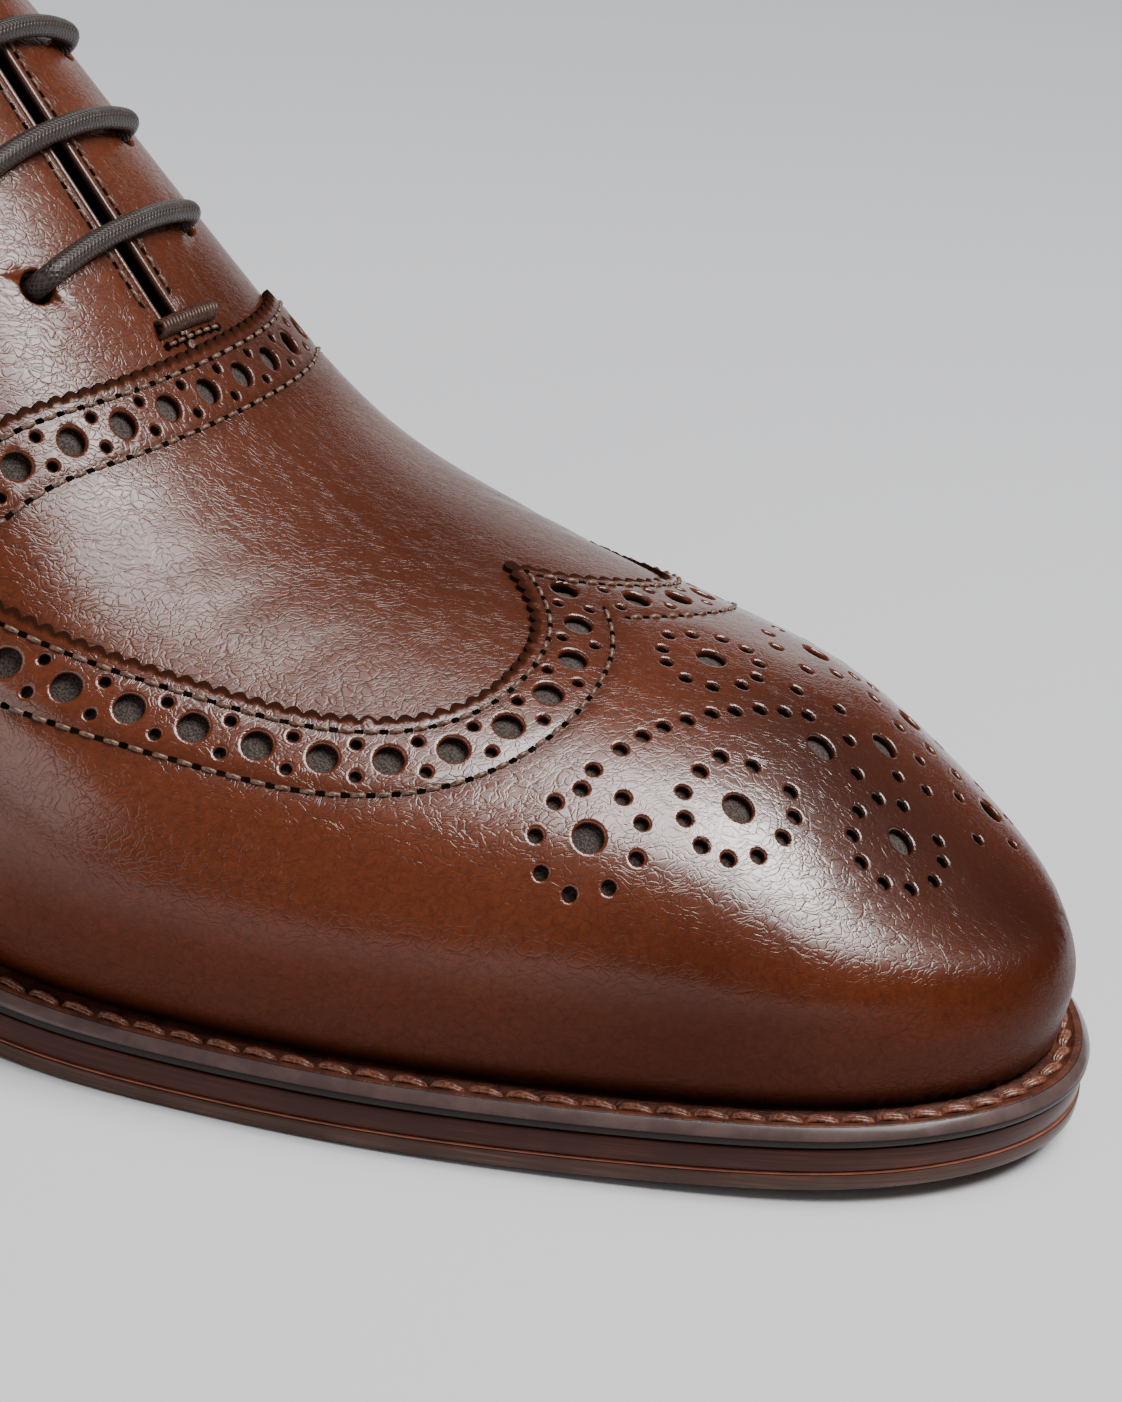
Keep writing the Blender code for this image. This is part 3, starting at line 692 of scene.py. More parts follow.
def cut_leather(pattern, outline, holes, rows, spacing):
    """Cuts a leather out flat: its points, its triangles, which points lie on any edge,
    and which on the rim of a hole. Holes are (centre, radius), rows are lines with
    points of their own, so that the seams sink sharply."""
    fixed = [outline]
    edges = [(i, (i + 1) % len(outline)) for i in range(len(outline))]
    rims = []
    free = []
    keep_off = [outline]
    start = len(outline)
    large = [hole for hole in holes if hole[1] > LARGE_FROM]
    small = [hole for hole in holes if hole[1] <= LARGE_FROM]
    for count, some in ((LARGE_RIM, large), (SMALL_RIM, small)):
        if not some:
            continue
        centres = np.array([centre for centre, radius in some])
        radii = np.array([radius for centre, radius in some])
        for ring in circles(pattern, centres, radii, count):
            rims.append((start, count))
            fixed.append(ring)
            edges += [(start + i, start + (i + 1) % count) for i in range(count)]
            start += count
        for wider in (0.0002, 0.00045):
            free.append(circles(pattern, centres, radii + wider, count).reshape(-1, 2))
        keep_off.append(free[-1])
    for line in rows:
        middle = even_steps(pattern, line, 0.0008)
        for off in (-0.0005, 0.0, 0.0005):
            track = beside(pattern, middle, off)
            free.append(track)
            keep_off.append(track)
    closed = np.vstack([outline[-1:], outline, outline[:1]])
    hem = beside(pattern, closed, 0.0003)[1:-1]
    free.append(hem)
    keep_off.append(hem)
    net = flat_net(spacing, outline.min(0), outline.max(0))
    near = tree_of(np.column_stack([np.vstack(keep_off), np.zeros(sum(map(len, keep_off)))]))
    clear = np.array([near.find((*p, 0.0))[2] > spacing * 0.55 for p in net])
    net = net[clear]
    for centre, radius in holes:
        net = net[np.linalg.norm(net - centre, axis=1) > radius + 0.0004]
    loose = np.vstack([*free, net])
    loose = loose[inside(loose, outline)]
    for centre, radius in holes:
        loose = loose[np.linalg.norm(loose - centre, axis=1) > radius * 0.9]
    flat = np.vstack([*fixed, loose])
    found = delaunay_2d_cdt([Vector(p * 1000) for p in flat], edges, [], 1, 0.0005)
    points = np.array([(p.x, p.y) for p in found[0]]) / 1000
    origin = np.array([min(o) if o else len(flat) for o in found[3]])
    hole_of = np.full(len(flat) + 1, -1)
    for n, (start, count) in enumerate(rims):
        hole_of[start:start + count] = n
    rim = hole_of[origin]
    faces = np.array([f for f in found[2] if len(f) == 3])
    first, second, third = rim[faces].T
    faces = faces[~((first >= 0) & (first == second) & (first == third))]
    on_edge = origin < sum(map(len, fixed))
    return points, faces, on_edge, rim >= 0


def finished(name, mesh, finish, nodes=(), smooth=45):
    """Links a mesh as a finished piece that rides on the shoe."""
    piece = bpy.data.objects.new(name, mesh)
    bpy.context.scene.collection.objects.link(piece)
    mesh.materials.clear()
    mesh.materials.append(finish)
    bpy.context.view_layer.objects.active = piece
    piece.select_set(True)
    bpy.ops.object.shade_smooth_by_angle(angle=math.radians(smooth))
    piece.select_set(False)
    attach(piece, "root")
    if nodes:
        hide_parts(*nodes)


def set_values(mesh, name, values):
    """Lays one value on each point of a mesh."""
    layer = mesh.attributes.new(name, "FLOAT", "POINT")
    layer.data.foreach_set("value", np.asarray(values, np.float32))


def leather(name, pattern, cutting, faces_at, relief, finish, nodes=()):
    """Closed leather of a cutting; faces_at is how far its two faces lie off the last."""
    top, bottom = faces_at
    points, faces, on_edge, on_rim = cutting
    base = on_last(pattern, points, 0.0)
    rise, seam = relief(base)
    rise = rise - np.where(on_edge, EDGE_SINKS, 0.0)
    upper = on_last(pattern, points, top + rise)
    lower = on_last(pattern, points, bottom)
    count = len(points)
    # Cut edges are inked dark; the darkening spreads onto the top within CUT_SHADE as painted shade, on the
    # pinked teeth and the foot by the welt
    from_cut = nearness(base, base[on_edge & ~on_rim])
    dark = np.maximum(np.exp(-(from_cut / CUT_SHADE)**2), 0.30 * on_rim)
    above_welt = upper[:, 2] - sole_height(upper[:, 0]) - SOLE_EDGE
    # Painted shade: the dye is darkened round the listed spots, where the light falls off
    light = np.ones(count)
    for *place, radius, strength in PAINTED_SHADE_SPOTS:
        away = np.linalg.norm(base * 1000 - place, axis=1)
        light *= 1 - strength * np.exp(-(away / radius)**2)
    directed = set()
    for a, b, c in faces:
        directed.update(((a, b), (b, c), (c, a)))
    sides = [(a, b) for a, b in directed if (b, a) not in directed]
    walls = [(b, a, a + count, b + count) for a, b in sides]
    mesh = bpy.data.meshes.new(name)
    back = [(c + count, b + count, a + count) for a, b, c in faces]
    mesh.from_pydata(np.vstack([upper, lower]).tolist(), [], faces.tolist() + back + walls)
    set_values(mesh, "cut_edge_ink_and_shade", np.concatenate([dark, np.ones(count)]))
    set_values(mesh, "seam", np.concatenate([seam, np.zeros(count)]))
    set_values(mesh, "above_welt", np.concatenate([above_welt, above_welt]))
    set_values(mesh, "painted_shade", np.concatenate([1 - light, 1 - light]))
    tidy_normals(mesh)
    finished(name, mesh, finish, nodes, smooth=62)


def sheet(name, pattern, outline, spacing, faces_at, finish, holes=()):
    """Plain lining or backing, without seams."""
    cutting = cut_leather(pattern, outline, holes, [], spacing)
    leather(name, pattern, cutting, faces_at, sewn_relief(pattern, []), finish)


def tidy_normals(mesh):
    """Drops loose points and turns all faces outward."""
    bm = bmesh.new()
    bm.from_mesh(mesh)
    loose = [v for v in bm.verts if not v.link_faces]
    bmesh.ops.delete(bm, geom=loose, context="VERTS")
    bmesh.ops.recalc_face_normals(bm, faces=bm.faces)
    bm.to_mesh(mesh)
    bm.free()


def millimetres(table):
    """Table given in millimetres, in metres."""
    return np.asarray(table, float) / 1000


def centre_line(x):
    """Across the front pattern, where the toe's centre line lies."""
    (x0, y0), (x1, y1) = CENTRE
    return (y0 + (x * 1000 - x0) * (y1 - y0) / (x1 - x0)) / 1000


# Lines of the winged cap and of the throat, each running with the leather on its right
WING_LINES = (
    smooth_line(np.vstack([front_foot(np.array(WING_FEET[:1]), -1), millimetres(WING_OUTER)])),
    smooth_line(np.vstack([millimetres(WING_INNER), front_foot(np.array(WING_FEET[1:]), 1)])),
)
THROAT_LINE = smooth_line(np.vstack([
    front_foot(np.array(THROAT_FEET[:1]), -1),
    millimetres(THROAT_EDGE),
    front_foot(np.array(THROAT_FEET[1:]), 1),
]))


def wing_rows(distance):
    """The two halves of a row that follows the wing, meeting at the centre line."""
    outer = beside(front_pattern, WING_LINES[0], -distance)
    inner = beside(front_pattern, WING_LINES[1], -distance)
    return [outer[outer[:, 1] < centre_line(outer[:, 0])], inner[inner[:, 1] > centre_line(inner[:, 0])]]


def ahead_of(line):
    """Closed outline of all that lies ahead of a line across the front pattern."""
    far = 2 * TIP
    return np.vstack([line, [(line[-1, 0], far), (far, far), (far, -far), (line[0, 0], -far)]])


def cap_outline(shrink=0.0):
    """Outline of the winged cap; the backing inside it is smaller all round."""
    if shrink:
        edge = np.vstack(wing_rows(shrink))
    else:
        outer_edge, inner_edge = (pinked(front_pattern, line, 1) for line in WING_LINES)
        edge = np.vstack([outer_edge, inner_edge[1:]])
    inner = front_foot(np.linspace(WING_FEET[1] + 0.003, 1, 80), 1)
    outer = front_foot(np.linspace(1, WING_FEET[0] + 0.003, 84)[1:], -1)
    return np.vstack([edge, inner, outer])


def vamp_outline():
    """Outline of the vamp: its pinked throat, and its front edge tucked under the wing."""
    under_wing = np.vstack(wing_rows(0.0016))
    throat = pinked(front_pattern, THROAT_LINE, 1)
    throat = throat[~inside(throat, ahead_of(under_wing))]
    wing = under_wing[::-1]
    return np.vstack([throat, wing[inside(wing, ahead_of(THROAT_LINE))][::3]])


def band_holes(pattern, rows, from_end):
    """Large holes along each row with a pair of small ones between them."""
    holes = []
    for row, backward in zip(rows, from_end):
        line = row[::-1] if backward else row
        spots = even_steps(pattern, line, HOLE_PITCH)
        holes += [(p, BIG_HOLE) for p in spots]
        between = even_steps(pattern, line, HOLE_PITCH, 0.5)
        for off in (-PAIR_HALF, PAIR_HALF):
            holes += [(p, SMALL_HOLE) for p in beside(pattern, between, off)]
    return holes


def spaced_apart(holes):
    """Drops a hole that would meet one already there."""
    kept = []
    for centre, radius in holes:
        if all(np.linalg.norm(centre - c) > radius + r + 0.0006 for c, r in kept):
            kept.append((centre, radius))
    return kept


def keep_inside(holes, outline, margin):
    """Holes that stay clear of the outline of their leather."""
    kept = []
    for centre, radius in holes:
        near = np.linalg.norm(outline - centre, axis=1).min()
        if inside(centre[None], outline)[0] and near > radius + margin:
            kept.append((centre, radius))
    return kept


def sewn_relief(pattern, rows, creases=()):
    """Leather drawn down along its seams, with painted shade along them, and soft creases where they are
    wanted.
    """
    tracks = [on_last(pattern, even_steps(pattern, row, 0.0005), 0.0) for row in rows]

    def relief(base):
        rise = np.zeros(len(base))
        seam = np.zeros(len(base))
        for track in tracks:
            away = nearness(base, track)
            rise -= SEAM_SINKS * np.exp(-(away / SEAM_HALF)**2)
            # painted shade along the sunk seam
            seam = np.maximum(seam, np.exp(-(away / SEAM_SHADE)**2))
        for x_start, y_start, x_end, y_end, depth, half in creases:
            start = np.array((x_start, y_start)) / 1000
            way = np.array((x_end, y_end)) / 1000 - start
            along = np.clip((base[:, :2] - start) @ way / (way @ way), 0, 1)
            away = np.linalg.norm(base[:, :2] - start - along[:, None] * way, axis=1) * 1000 / half
            rise -= depth / 1000 * np.sin(math.pi * along) * (1 - away**2) * np.exp(-away**2)
        return rise, seam

    return relief


def tube(path, radius, sides, turn=0.0):
    """Points and faces of a closed tube along a path; radius may change along it."""
    path = np.asarray(path, float)
    radius = np.broadcast_to(radius, len(path))
    way = np.gradient(path, axis=0)
    way /= np.linalg.norm(way, axis=1, keepdims=True)
    up = np.array((0.0, 0.0, 1.0)) if abs(way[len(way) // 2][2]) < 0.9 else np.array((1.0, 0.0, 0.0))
    points = []
    for p, w, r in zip(path, way, radius):
        across = np.cross(w, up)
        across /= np.linalg.norm(across)
        up = np.cross(across, w)
        for k in range(sides):
            a = turn + 2 * math.pi * k / sides
            points.append(p + r * (math.cos(a) * across + math.sin(a) * up))
    faces = []
    for i in range(len(path) - 1):
        for k in range(sides):
            m = (k + 1) % sides
            faces.append((i * sides + k, i * sides + m, (i + 1) * sides + m, (i + 1) * sides + k))
    faces.append(tuple(range(sides))[::-1])
    faces.append(tuple(range((len(path) - 1) * sides, len(path) * sides)))
    return np.array(points), faces


def joined(parts):
    """Points and faces of several bodies as one list each."""
    points, faces, start = [], [], 0
    for some, polygons in parts:
        points.append(some)
        faces += [tuple(i + start for i in face) for face in polygons]
        start += len(some)
    return np.vstack(points), faces


def mesh_of(name, points, faces):
    """Mesh of these points and faces, all faces outward."""
    mesh = bpy.data.meshes.new(name)
    mesh.from_pydata(np.asarray(points).tolist(), [], [tuple(int(i) for i in f) for f in faces])
    tidy_normals(mesh)
    return mesh


def stitch_row(pattern, line, level, pitch):
    """Threads of one row, each dipping into the leather at both ends."""
    knots = even_steps(pattern, line, pitch)
    shares = np.array((0.17, 0.28, 0.5, 0.72, 0.83))
    lifts = np.array((-1.3, 0.25, 0.75, 0.25, -1.3)) * THREAD
    count = len(knots) - 1
    spots = (knots[:-1, None] + (knots[1:] - knots[:-1])[:, None] * shares[:, None]).reshape(-1, 2)
    place = on_last(pattern, spots, level + np.tile(lifts, count)).reshape(count, 5, 3)
    return [tube(path, THREAD * np.array((0.7, 1.0, 1.08, 1.0, 0.7)), 6) for path in place], knots


def pinholes(pattern, knots, level):
    """Painted shade of the awl holes: flat near-black marks under the ends of the threads."""
    rings = circles(pattern, knots, np.full(len(knots), THREAD * 2.2), 6)
    place = on_last(pattern, rings.reshape(-1, 2), level).reshape(len(knots), 6, 3)
    return [(ring, [tuple(range(6))]) for ring in place]


def sew(name, pattern, rows, level, pitch=STITCH):
    """Stitches of several rows as one piece, and the painted shade of their awl holes as another."""
    threads, marks = [], []
    for row in rows:
        row_threads, knots = stitch_row(pattern, row, level - STITCH_SINKS, pitch)
        threads += row_threads
        marks += pinholes(pattern, knots, level - MARK_SINKS)
    finished(name + "_stitches", mesh_of(name, *joined(threads)), UPPER_THREAD, smooth=80)
    points, faces = joined(marks)
    mesh = bpy.data.meshes.new(name + "_marks")
    mesh.from_pydata(points.tolist(), [], faces)
    finished(name + "_awl_hole_shade", mesh, AWL_HOLE_SHADE)


def socket(group, name, kind, direction, value=None):
    """Adds an input or output to a node group."""
    made = group.interface.new_socket(name=name, in_out=direction, socket_type=kind)
    if value is not None:
        made.default_value = value


def feed(tree, slots, values):
    """Gives inputs, by name or number, a link from another node, a colour or a number."""
    for name, value in values.items():
        slot = slots[name]
        if isinstance(value, bpy.types.NodeSocket):
            tree.links.new(value, slot)
        elif slot.type == "RGBA":
            slot.default_value = (*value, 1.0)
        else:
            slot.default_value = value


def node(tree, kind, inputs=None, **settings):
    """Adds a node with these inputs and settings."""
    made = tree.nodes.new(kind)
    for key, value in settings.items():
        setattr(made, key, value)
    feed(tree, made.inputs, inputs or {})
    return made


def object_space(tree):
    """Coordinates in metres that stay with the piece."""
    return node(tree, "ShaderNodeTexCoord").outputs["Object"]


def painted(tree, name):
    """Values that the mesh carries under this name."""
    return node(tree, "ShaderNodeAttribute", attribute_name=name).outputs["Fac"]


def maths(tree, operation, a, b):
    """Result of one sum with two values."""
    return node(tree, "ShaderNodeMath", {0: a, 1: b}, operation=operation).outputs[0]


def noise(tree, where, scale, detail=3.0, rough=0.55):
    """Cloudy values from 0 to 1."""
    inputs = {"Vector": where, "Scale": scale, "Detail": detail, "Roughness": rough}
    return node(tree, "ShaderNodeTexNoise", inputs).outputs["Fac"]


def spread(tree, value, low, high, to_low=0.0, to_high=1.0):
    """Value eased from the range low to high into another range."""
    inputs = {"Value": value, "From Min": low, "From Max": high, "To Min": to_low, "To Max": to_high}
    return node(tree, "ShaderNodeMapRange", inputs, interpolation_type="SMOOTHSTEP").outputs[0]


def blend_colours(tree, factor, first, second):
    """Colour that goes from the first to the second as the factor rises."""
    made = node(tree, "ShaderNodeMix", {0: factor}, data_type="RGBA")
    feed(tree, [slot for slot in made.inputs if slot.type == "RGBA"], {0: first, 1: second})
    return [slot for slot in made.outputs if slot.type == "RGBA"][0]


def bump(tree, height, distance, strength=1.0, after=None):
    """Surface raised by a height, on top of another such surface if one is given."""
    made = node(tree, "ShaderNodeBump", {"Height": height, "Distance": distance, "Strength": strength})
    if after is not None:
        feed(tree, made.inputs, {"Normal": after})
    return made.outputs[0]


def grain_group():
    """Calf grain: a net of fine creases that runs in wavy bundles, and its fine pores."""
    group = bpy.data.node_groups.new("calf_grain", "ShaderNodeTree")
    socket(group, "Vector", "NodeSocketVector", "INPUT")
    socket(group, "Cells", "NodeSocketFloat", "INPUT", 900.0)
    socket(group, "Crease", "NodeSocketFloat", "OUTPUT")
    socket(group, "Pores", "NodeSocketFloat", "OUTPUT")
    given, result = node(group, "NodeGroupInput").outputs, node(group, "NodeGroupOutput").inputs
    wander = node(group, "ShaderNodeTexNoise", {"Vector": given["Vector"], "Scale": 260.0, "Detail": 2.0})
    shift = node(group, "ShaderNodeVectorMath",
                 {0: wander.outputs["Color"], 1: (0.0040, 0.0040, 0.0040), 2: given["Vector"]},
                 operation="MULTIPLY_ADD")
    stretched = node(group, "ShaderNodeMapping",
                     {"Vector": shift.outputs[0], "Rotation": (0.0, 0.0, 1.05), "Scale": (2.1, 0.85, 1.0)},
                     vector_type="TEXTURE")

    def creases(cells, width):
        net = node(group, "ShaderNodeTexVoronoi", {"Vector": stretched.outputs[0], "Scale": cells},
                   feature="DISTANCE_TO_EDGE")
        return spread(group, net.outputs["Distance"], 0.0, width)

    fine = creases(given["Cells"], 0.13)
    coarse = creases(maths(group, "MULTIPLY", given["Cells"], 0.38), 0.07)
    both = maths(group, "ADD", maths(group, "MULTIPLY", fine, 0.55), maths(group, "MULTIPLY", coarse, 0.45))
    feed(group, result, {"Crease": both, "Pores": noise(group, given["Vector"], 3200.0, 1.0)})
    return group


def patina_group():
    """Hand-burnished dye: broad clouds, small blotches and fine speckle."""
    group = bpy.data.node_groups.new("burnished_dye", "ShaderNodeTree")
    socket(group, "Vector", "NodeSocketVector", "INPUT")
    for name in ("Light", "Middle", "Dark"):
        socket(group, name, "NodeSocketColor", "INPUT")
    socket(group, "Color", "NodeSocketColor", "OUTPUT")
    given, result = node(group, "NodeGroupInput").outputs, node(group, "NodeGroupOutput").inputs
    where = given["Vector"]
    clouds = spread(group, noise(group, where, 22.0, 3.0), 0.30, 0.72)
    blotch = spread(group, noise(group, where, 240.0, 4.0, 0.65), 0.35, 0.72)
    speckle = spread(group, noise(group, where, 1300.0, 3.0, 0.6), 0.35, 0.7)
    broad = maths(group, "ADD", maths(group, "MULTIPLY", clouds, 0.45), 0.10)
    body = blend_colours(group, broad, given["Middle"], given["Light"])
    lit = blend_colours(group, maths(group, "MULTIPLY", blotch, 0.30), body, given["Light"])
    speckled = blend_colours(group, maths(group, "MULTIPLY", speckle, 0.26), lit, given["Dark"])
    feed(group, result, {"Color": speckled})
    return group


GRAIN = grain_group()
PATINA = patina_group()
# Colour of the inked cut edges, also used as painted shade beside them
INKED_EDGE_AND_SHADE = (0.034, 0.013, 0.008)


def new_material(name, roughness, coat=0.0, coat_roughness=0.2, specular=0.5):
    """Plain material: gives it, its node tree and the inputs of its shader."""
    made = bpy.data.materials.new(name)
    made.use_nodes = True
    shader = made.node_tree.nodes["Principled BSDF"].inputs
    feed(made.node_tree, shader, {
        "Roughness": roughness, "Coat Weight": coat, "Coat Roughness": coat_roughness,
        "Specular IOR Level": specular,
    })
    return made, made.node_tree, shader


def grained(tree, where, cells):
    """The two heights of the calf grain with this many cells to the metre."""
    return node(tree, "ShaderNodeGroup", {"Vector": where, "Cells": cells}, node_tree=GRAIN).outputs


def darker(colour, shade):
    """Colour with its light cut to this share."""
    return tuple(c * shade for c in colour)


def calf(name, light, middle, dark, shine=1.0, grain=0.000022):
    """Burnished calf leather: an even rich dye, a crackled grain and a waxed surface that is worn smooth in
    places;
    painted shade on the up-facing toe and ridge, in the seams and grain creases, towards the welt and beside
    the inked raw edges."""
    roughness = 0.24
    made, tree, shader = new_material(name, roughness, 0.0, 0.27 - 0.07 * shine, 0.22)
    where = object_space(tree)
    dye = node(tree, "ShaderNodeGroup", {"Vector": where, "Light": light, "Middle": middle, "Dark": dark},
               node_tree=PATINA)
    heights = grained(tree, where, 1250.0)
    raw, height = painted(tree, "cut_edge_ink_and_shade"), painted(tree, "above_welt")
    in_crease = maths(tree, "SUBTRACT", 1.0, heights["Crease"])
    colour = dye.outputs["Color"]
    for mask, weight, shade in (
        # painted shade on the up-facing toe and ridge
        (painted(tree, "painted_shade"), 1.0, 0.75),
        # painted shade: darker towards the welt and near black right above it, where shade falls in the
        # hollow
        (spread(tree, height, 0.002, 0.018, 1.0, 0.0), 0.40, 0.8),
        (spread(tree, height, 0.0002, 0.0036, 1.0, 0.0), 0.92, 0.12),
        # painted shade in the sunk seams
        (painted(tree, "seam"), 0.30, 0.6),
        # painted shade in the grain creases
        (in_crease, 0.36, 0.6),
    ):
        colour = blend_colours(tree, maths(tree, "MULTIPLY", mask, weight), colour, darker(dark, shade))
    # inked cut edges, with painted shade where the darkening spreads onto the top beside them
    colour = blend_colours(tree, spread(tree, raw, 0.22, 0.80), colour, INKED_EDGE_AND_SHADE)
    worn = spread(tree, noise(tree, where, 45.0, 3.0), 0.3, 0.7, roughness - 0.04, roughness + 0.06)
    gloss = maths(tree, "ADD", worn, maths(tree, "MULTIPLY", in_crease, 0.12))
    ripple = bump(tree, noise(tree, where, 160.0, 2.0), 0.00006, 0.7)
    creased = bump(tree, heights["Crease"], grain, 1.0, ripple)
    porous = bump(tree, heights["Pores"], 0.000012, 0.7, creased)
    sound = spread(tree, raw, 0.12, 0.55, 1.0, 0.0)
    waxed = maths(tree, "MULTIPLY", spread(tree, height, 0.010, 0.026, 0.06 * shine, shine), sound)
    polish = maths(tree, "MULTIPLY", spread(tree, height, 0.008, 0.024, 0.04, 0.22), sound)
    feed(tree, shader, {
        "Base Color": colour, "Roughness": gloss, "Normal": porous, "Specular IOR Level": polish,
        "Coat Weight": waxed, "Coat Normal": creased, "Coat IOR": 1.75,
    })
    return made


def plain_leather(name, light, dark, roughness, cells=700.0, depth=0.00004, coat=0.0):
    """Leather with a soft uneven dye and a fine grain: linings, sock and folded edges."""
    made, tree, shader = new_material(name, roughness, coat, 0.25)
    where = object_space(tree)
    clouds = spread(tree, noise(tree, where, 60.0, 4.0, 0.6), 0.35, 0.68)
    fine = bump(tree, grained(tree, where, cells)["Crease"], depth)
    feed(tree, shader, {
        "Base Color": blend_colours(tree, clouds, dark, light),
        "Roughness": spread(tree, clouds, 0.0, 1.0, roughness + 0.05, roughness - 0.05),
        "Normal": bump(tree, noise(tree, where, 1500.0, 2.0), depth * 0.6, 0.7, fine),
    })
    return made


def welt_leather(name, light, dark, lip):
    """Welt: brown on top where it is stitched, a painted highlight on the bevel, and inked round its edge.
    """
    made, tree, shader = new_material(name, 0.4, 0.0, 0.14, 0.2)
    where = object_space(tree)
    on_lip = painted(tree, "lip")
    clouds = spread(tree, noise(tree, where, 320.0, 4.0, 0.6), 0.35, 0.68)
    top = blend_colours(tree, clouds, dark, light)
    inked = blend_colours(tree, spread(tree, on_lip, 0.0, 0.5), top, darker(lip, 0.17))
    # painted highlight: the bevel is coloured light pinkish grey
    bevel = blend_colours(tree, clouds, darker(lip, 0.7), lip)
    off_lip = maths(tree, "SUBTRACT", 1.0, on_lip)
    fine = maths(tree, "MULTIPLY", grained(tree, where, 1100.0)["Crease"], off_lip)
    feed(tree, shader, {
        "Base Color": blend_colours(tree, spread(tree, on_lip, 0.6, 1.0), inked, bevel),
        "Roughness": spread(tree, on_lip, 0.0, 1.0, 0.42, 0.28),
        "Coat Weight": spread(tree, on_lip, 0.6, 1.0, 0.0, 0.35),
        "Normal": bump(tree, fine, 0.00004),
    })
    return made


def edge_leather(name, light, dark, coat):
    """Trimmed and inked leather edge: fine fibres lying along the edge under wax."""
    made, tree, shader = new_material(name, 0.3, coat, 0.15, 0.14)
    where = object_space(tree)
    flat = node(tree, "ShaderNodeMapping", {"Vector": where, "Scale": (60.0, 60.0, 2600.0)})
    fibres = noise(tree, flat.outputs[0], 1.0, 3.0, 0.6)
    blotch = noise(tree, where, 90.0, 3.0)
    mixed = maths(tree, "MULTIPLY", spread(tree, fibres, 0.35, 0.7), spread(tree, blotch, 0.3, 0.7))
    feed(tree, shader, {
        "Base Color": blend_colours(tree, mixed, dark, light),
        "Normal": bump(tree, fibres, 0.00006, 0.6),
    })
    return made


def waxed_thread(name, light, dark, roughness):
    """Waxed thread: fine twisted plies with lighter wear on their crowns."""
    made, tree, shader = new_material(name, roughness, 0.15, 0.3)
    fibres = noise(tree, object_space(tree), 2600.0, 2.0, 0.6)
    feed(tree, shader, {
        "Base Color": blend_colours(tree, spread(tree, fibres, 0.35, 0.65), dark, light),
        "Normal": bump(tree, fibres, 0.00006, 0.8),
    })
    return made


def waxed_lace(name):
    """Round braided lace under wax: fine crossing plies that follow the lace, with painted shade between
    them.
    """
    made, tree, shader = new_material(name, 0.42, 0.2, 0.3)
    map_at = node(tree, "ShaderNodeUVMap", uv_map="along_lace").outputs[0]
    plies = []
    for turn in (1.0, -1.0):
        slanted = node(tree, "ShaderNodeMapping", {"Vector": map_at, "Rotation": (0.0, 0.0, turn * 0.7)})
        inputs = {"Vector": slanted.outputs[0], "Scale": 5.2, "Distortion": 0.6}
        plies.append(node(tree, "ShaderNodeTexWave", inputs, wave_type="BANDS").outputs["Fac"])
    braid = maths(tree, "MAXIMUM", plies[0], plies[1])
    dust = noise(tree, object_space(tree), 500.0, 3.0)
    # painted shade: darker between the plies, lighter on their crowns
    colour = blend_colours(tree, spread(tree, braid, 0.4, 1.0), (0.014, 0.009, 0.007), (0.052, 0.036, 0.029))
    colour = blend_colours(tree, spread(tree, dust, 0.5, 0.8, 0.0, 0.35), colour, (0.110, 0.082, 0.068))
    feed(tree, shader, {
        "Base Color": colour,
        "Normal": bump(tree, braid, 0.00012, 0.8, bump(tree, dust, 0.00005, 0.5)),
    })
    return made


def backing_cloth(name):
    """Coarse grey-brown interlining seen at the bottom of the holes."""
    made, tree, shader = new_material(name, 0.9)
    weave = noise(tree, object_space(tree), 4200.0, 2.0)
    shade = spread(tree, weave, 0.38, 0.64)
    feed(tree, shader, {
        "Base Color": blend_colours(tree, shade, (0.032, 0.022, 0.018), (0.112, 0.084, 0.073)),
        "Normal": bump(tree, weave, 0.00015),
    })
    return made


def plain_finish(name, colour, roughness, depth=0.00003, specular=0.5):
    """One-colour finish with a little unevenness: rubber, painted line, painted shade of awl holes."""
    made, tree, shader = new_material(name, roughness, specular=specular)
    uneven = noise(tree, object_space(tree), 350.0, 4.0)
    lighter = tuple(min(1.0, c * 1.5 + 0.004) for c in colour)
    feed(tree, shader, {
        "Base Color": blend_colours(tree, spread(tree, uneven, 0.35, 0.7), colour, lighter),
        "Normal": bump(tree, uneven, depth),
    })
    return made


CAP_CALF = calf("burnished_calf", (0.215, 0.054, 0.022), (0.150, 0.033, 0.012), (0.050, 0.010, 0.004))
CALF = calf("brushed_calf", (0.190, 0.050, 0.021), (0.125, 0.029, 0.011), (0.050, 0.010, 0.004),
            0.42, 0.000031)
# The tongue is dyed near black as painted shade for the slit over it
TONGUE_CALF_PAINTED_SHADE = calf("tongue_calf_painted_shade", (0.040, 0.014, 0.009), (0.026, 0.009, 0.006), (0.012, 0.005, 0.004), 0.3)
FOLDED = plain_leather("folded_edge", (0.15, 0.060, 0.038), (0.09, 0.033, 0.020), 0.24, 900.0, 0.00002, 0.5)
LINING = plain_leather("tan_lining", (0.46, 0.29, 0.17), (0.36, 0.21, 0.115), 0.6)
SOCK = plain_leather("tan_sock", (0.42, 0.25, 0.14), (0.30, 0.165, 0.085), 0.5)
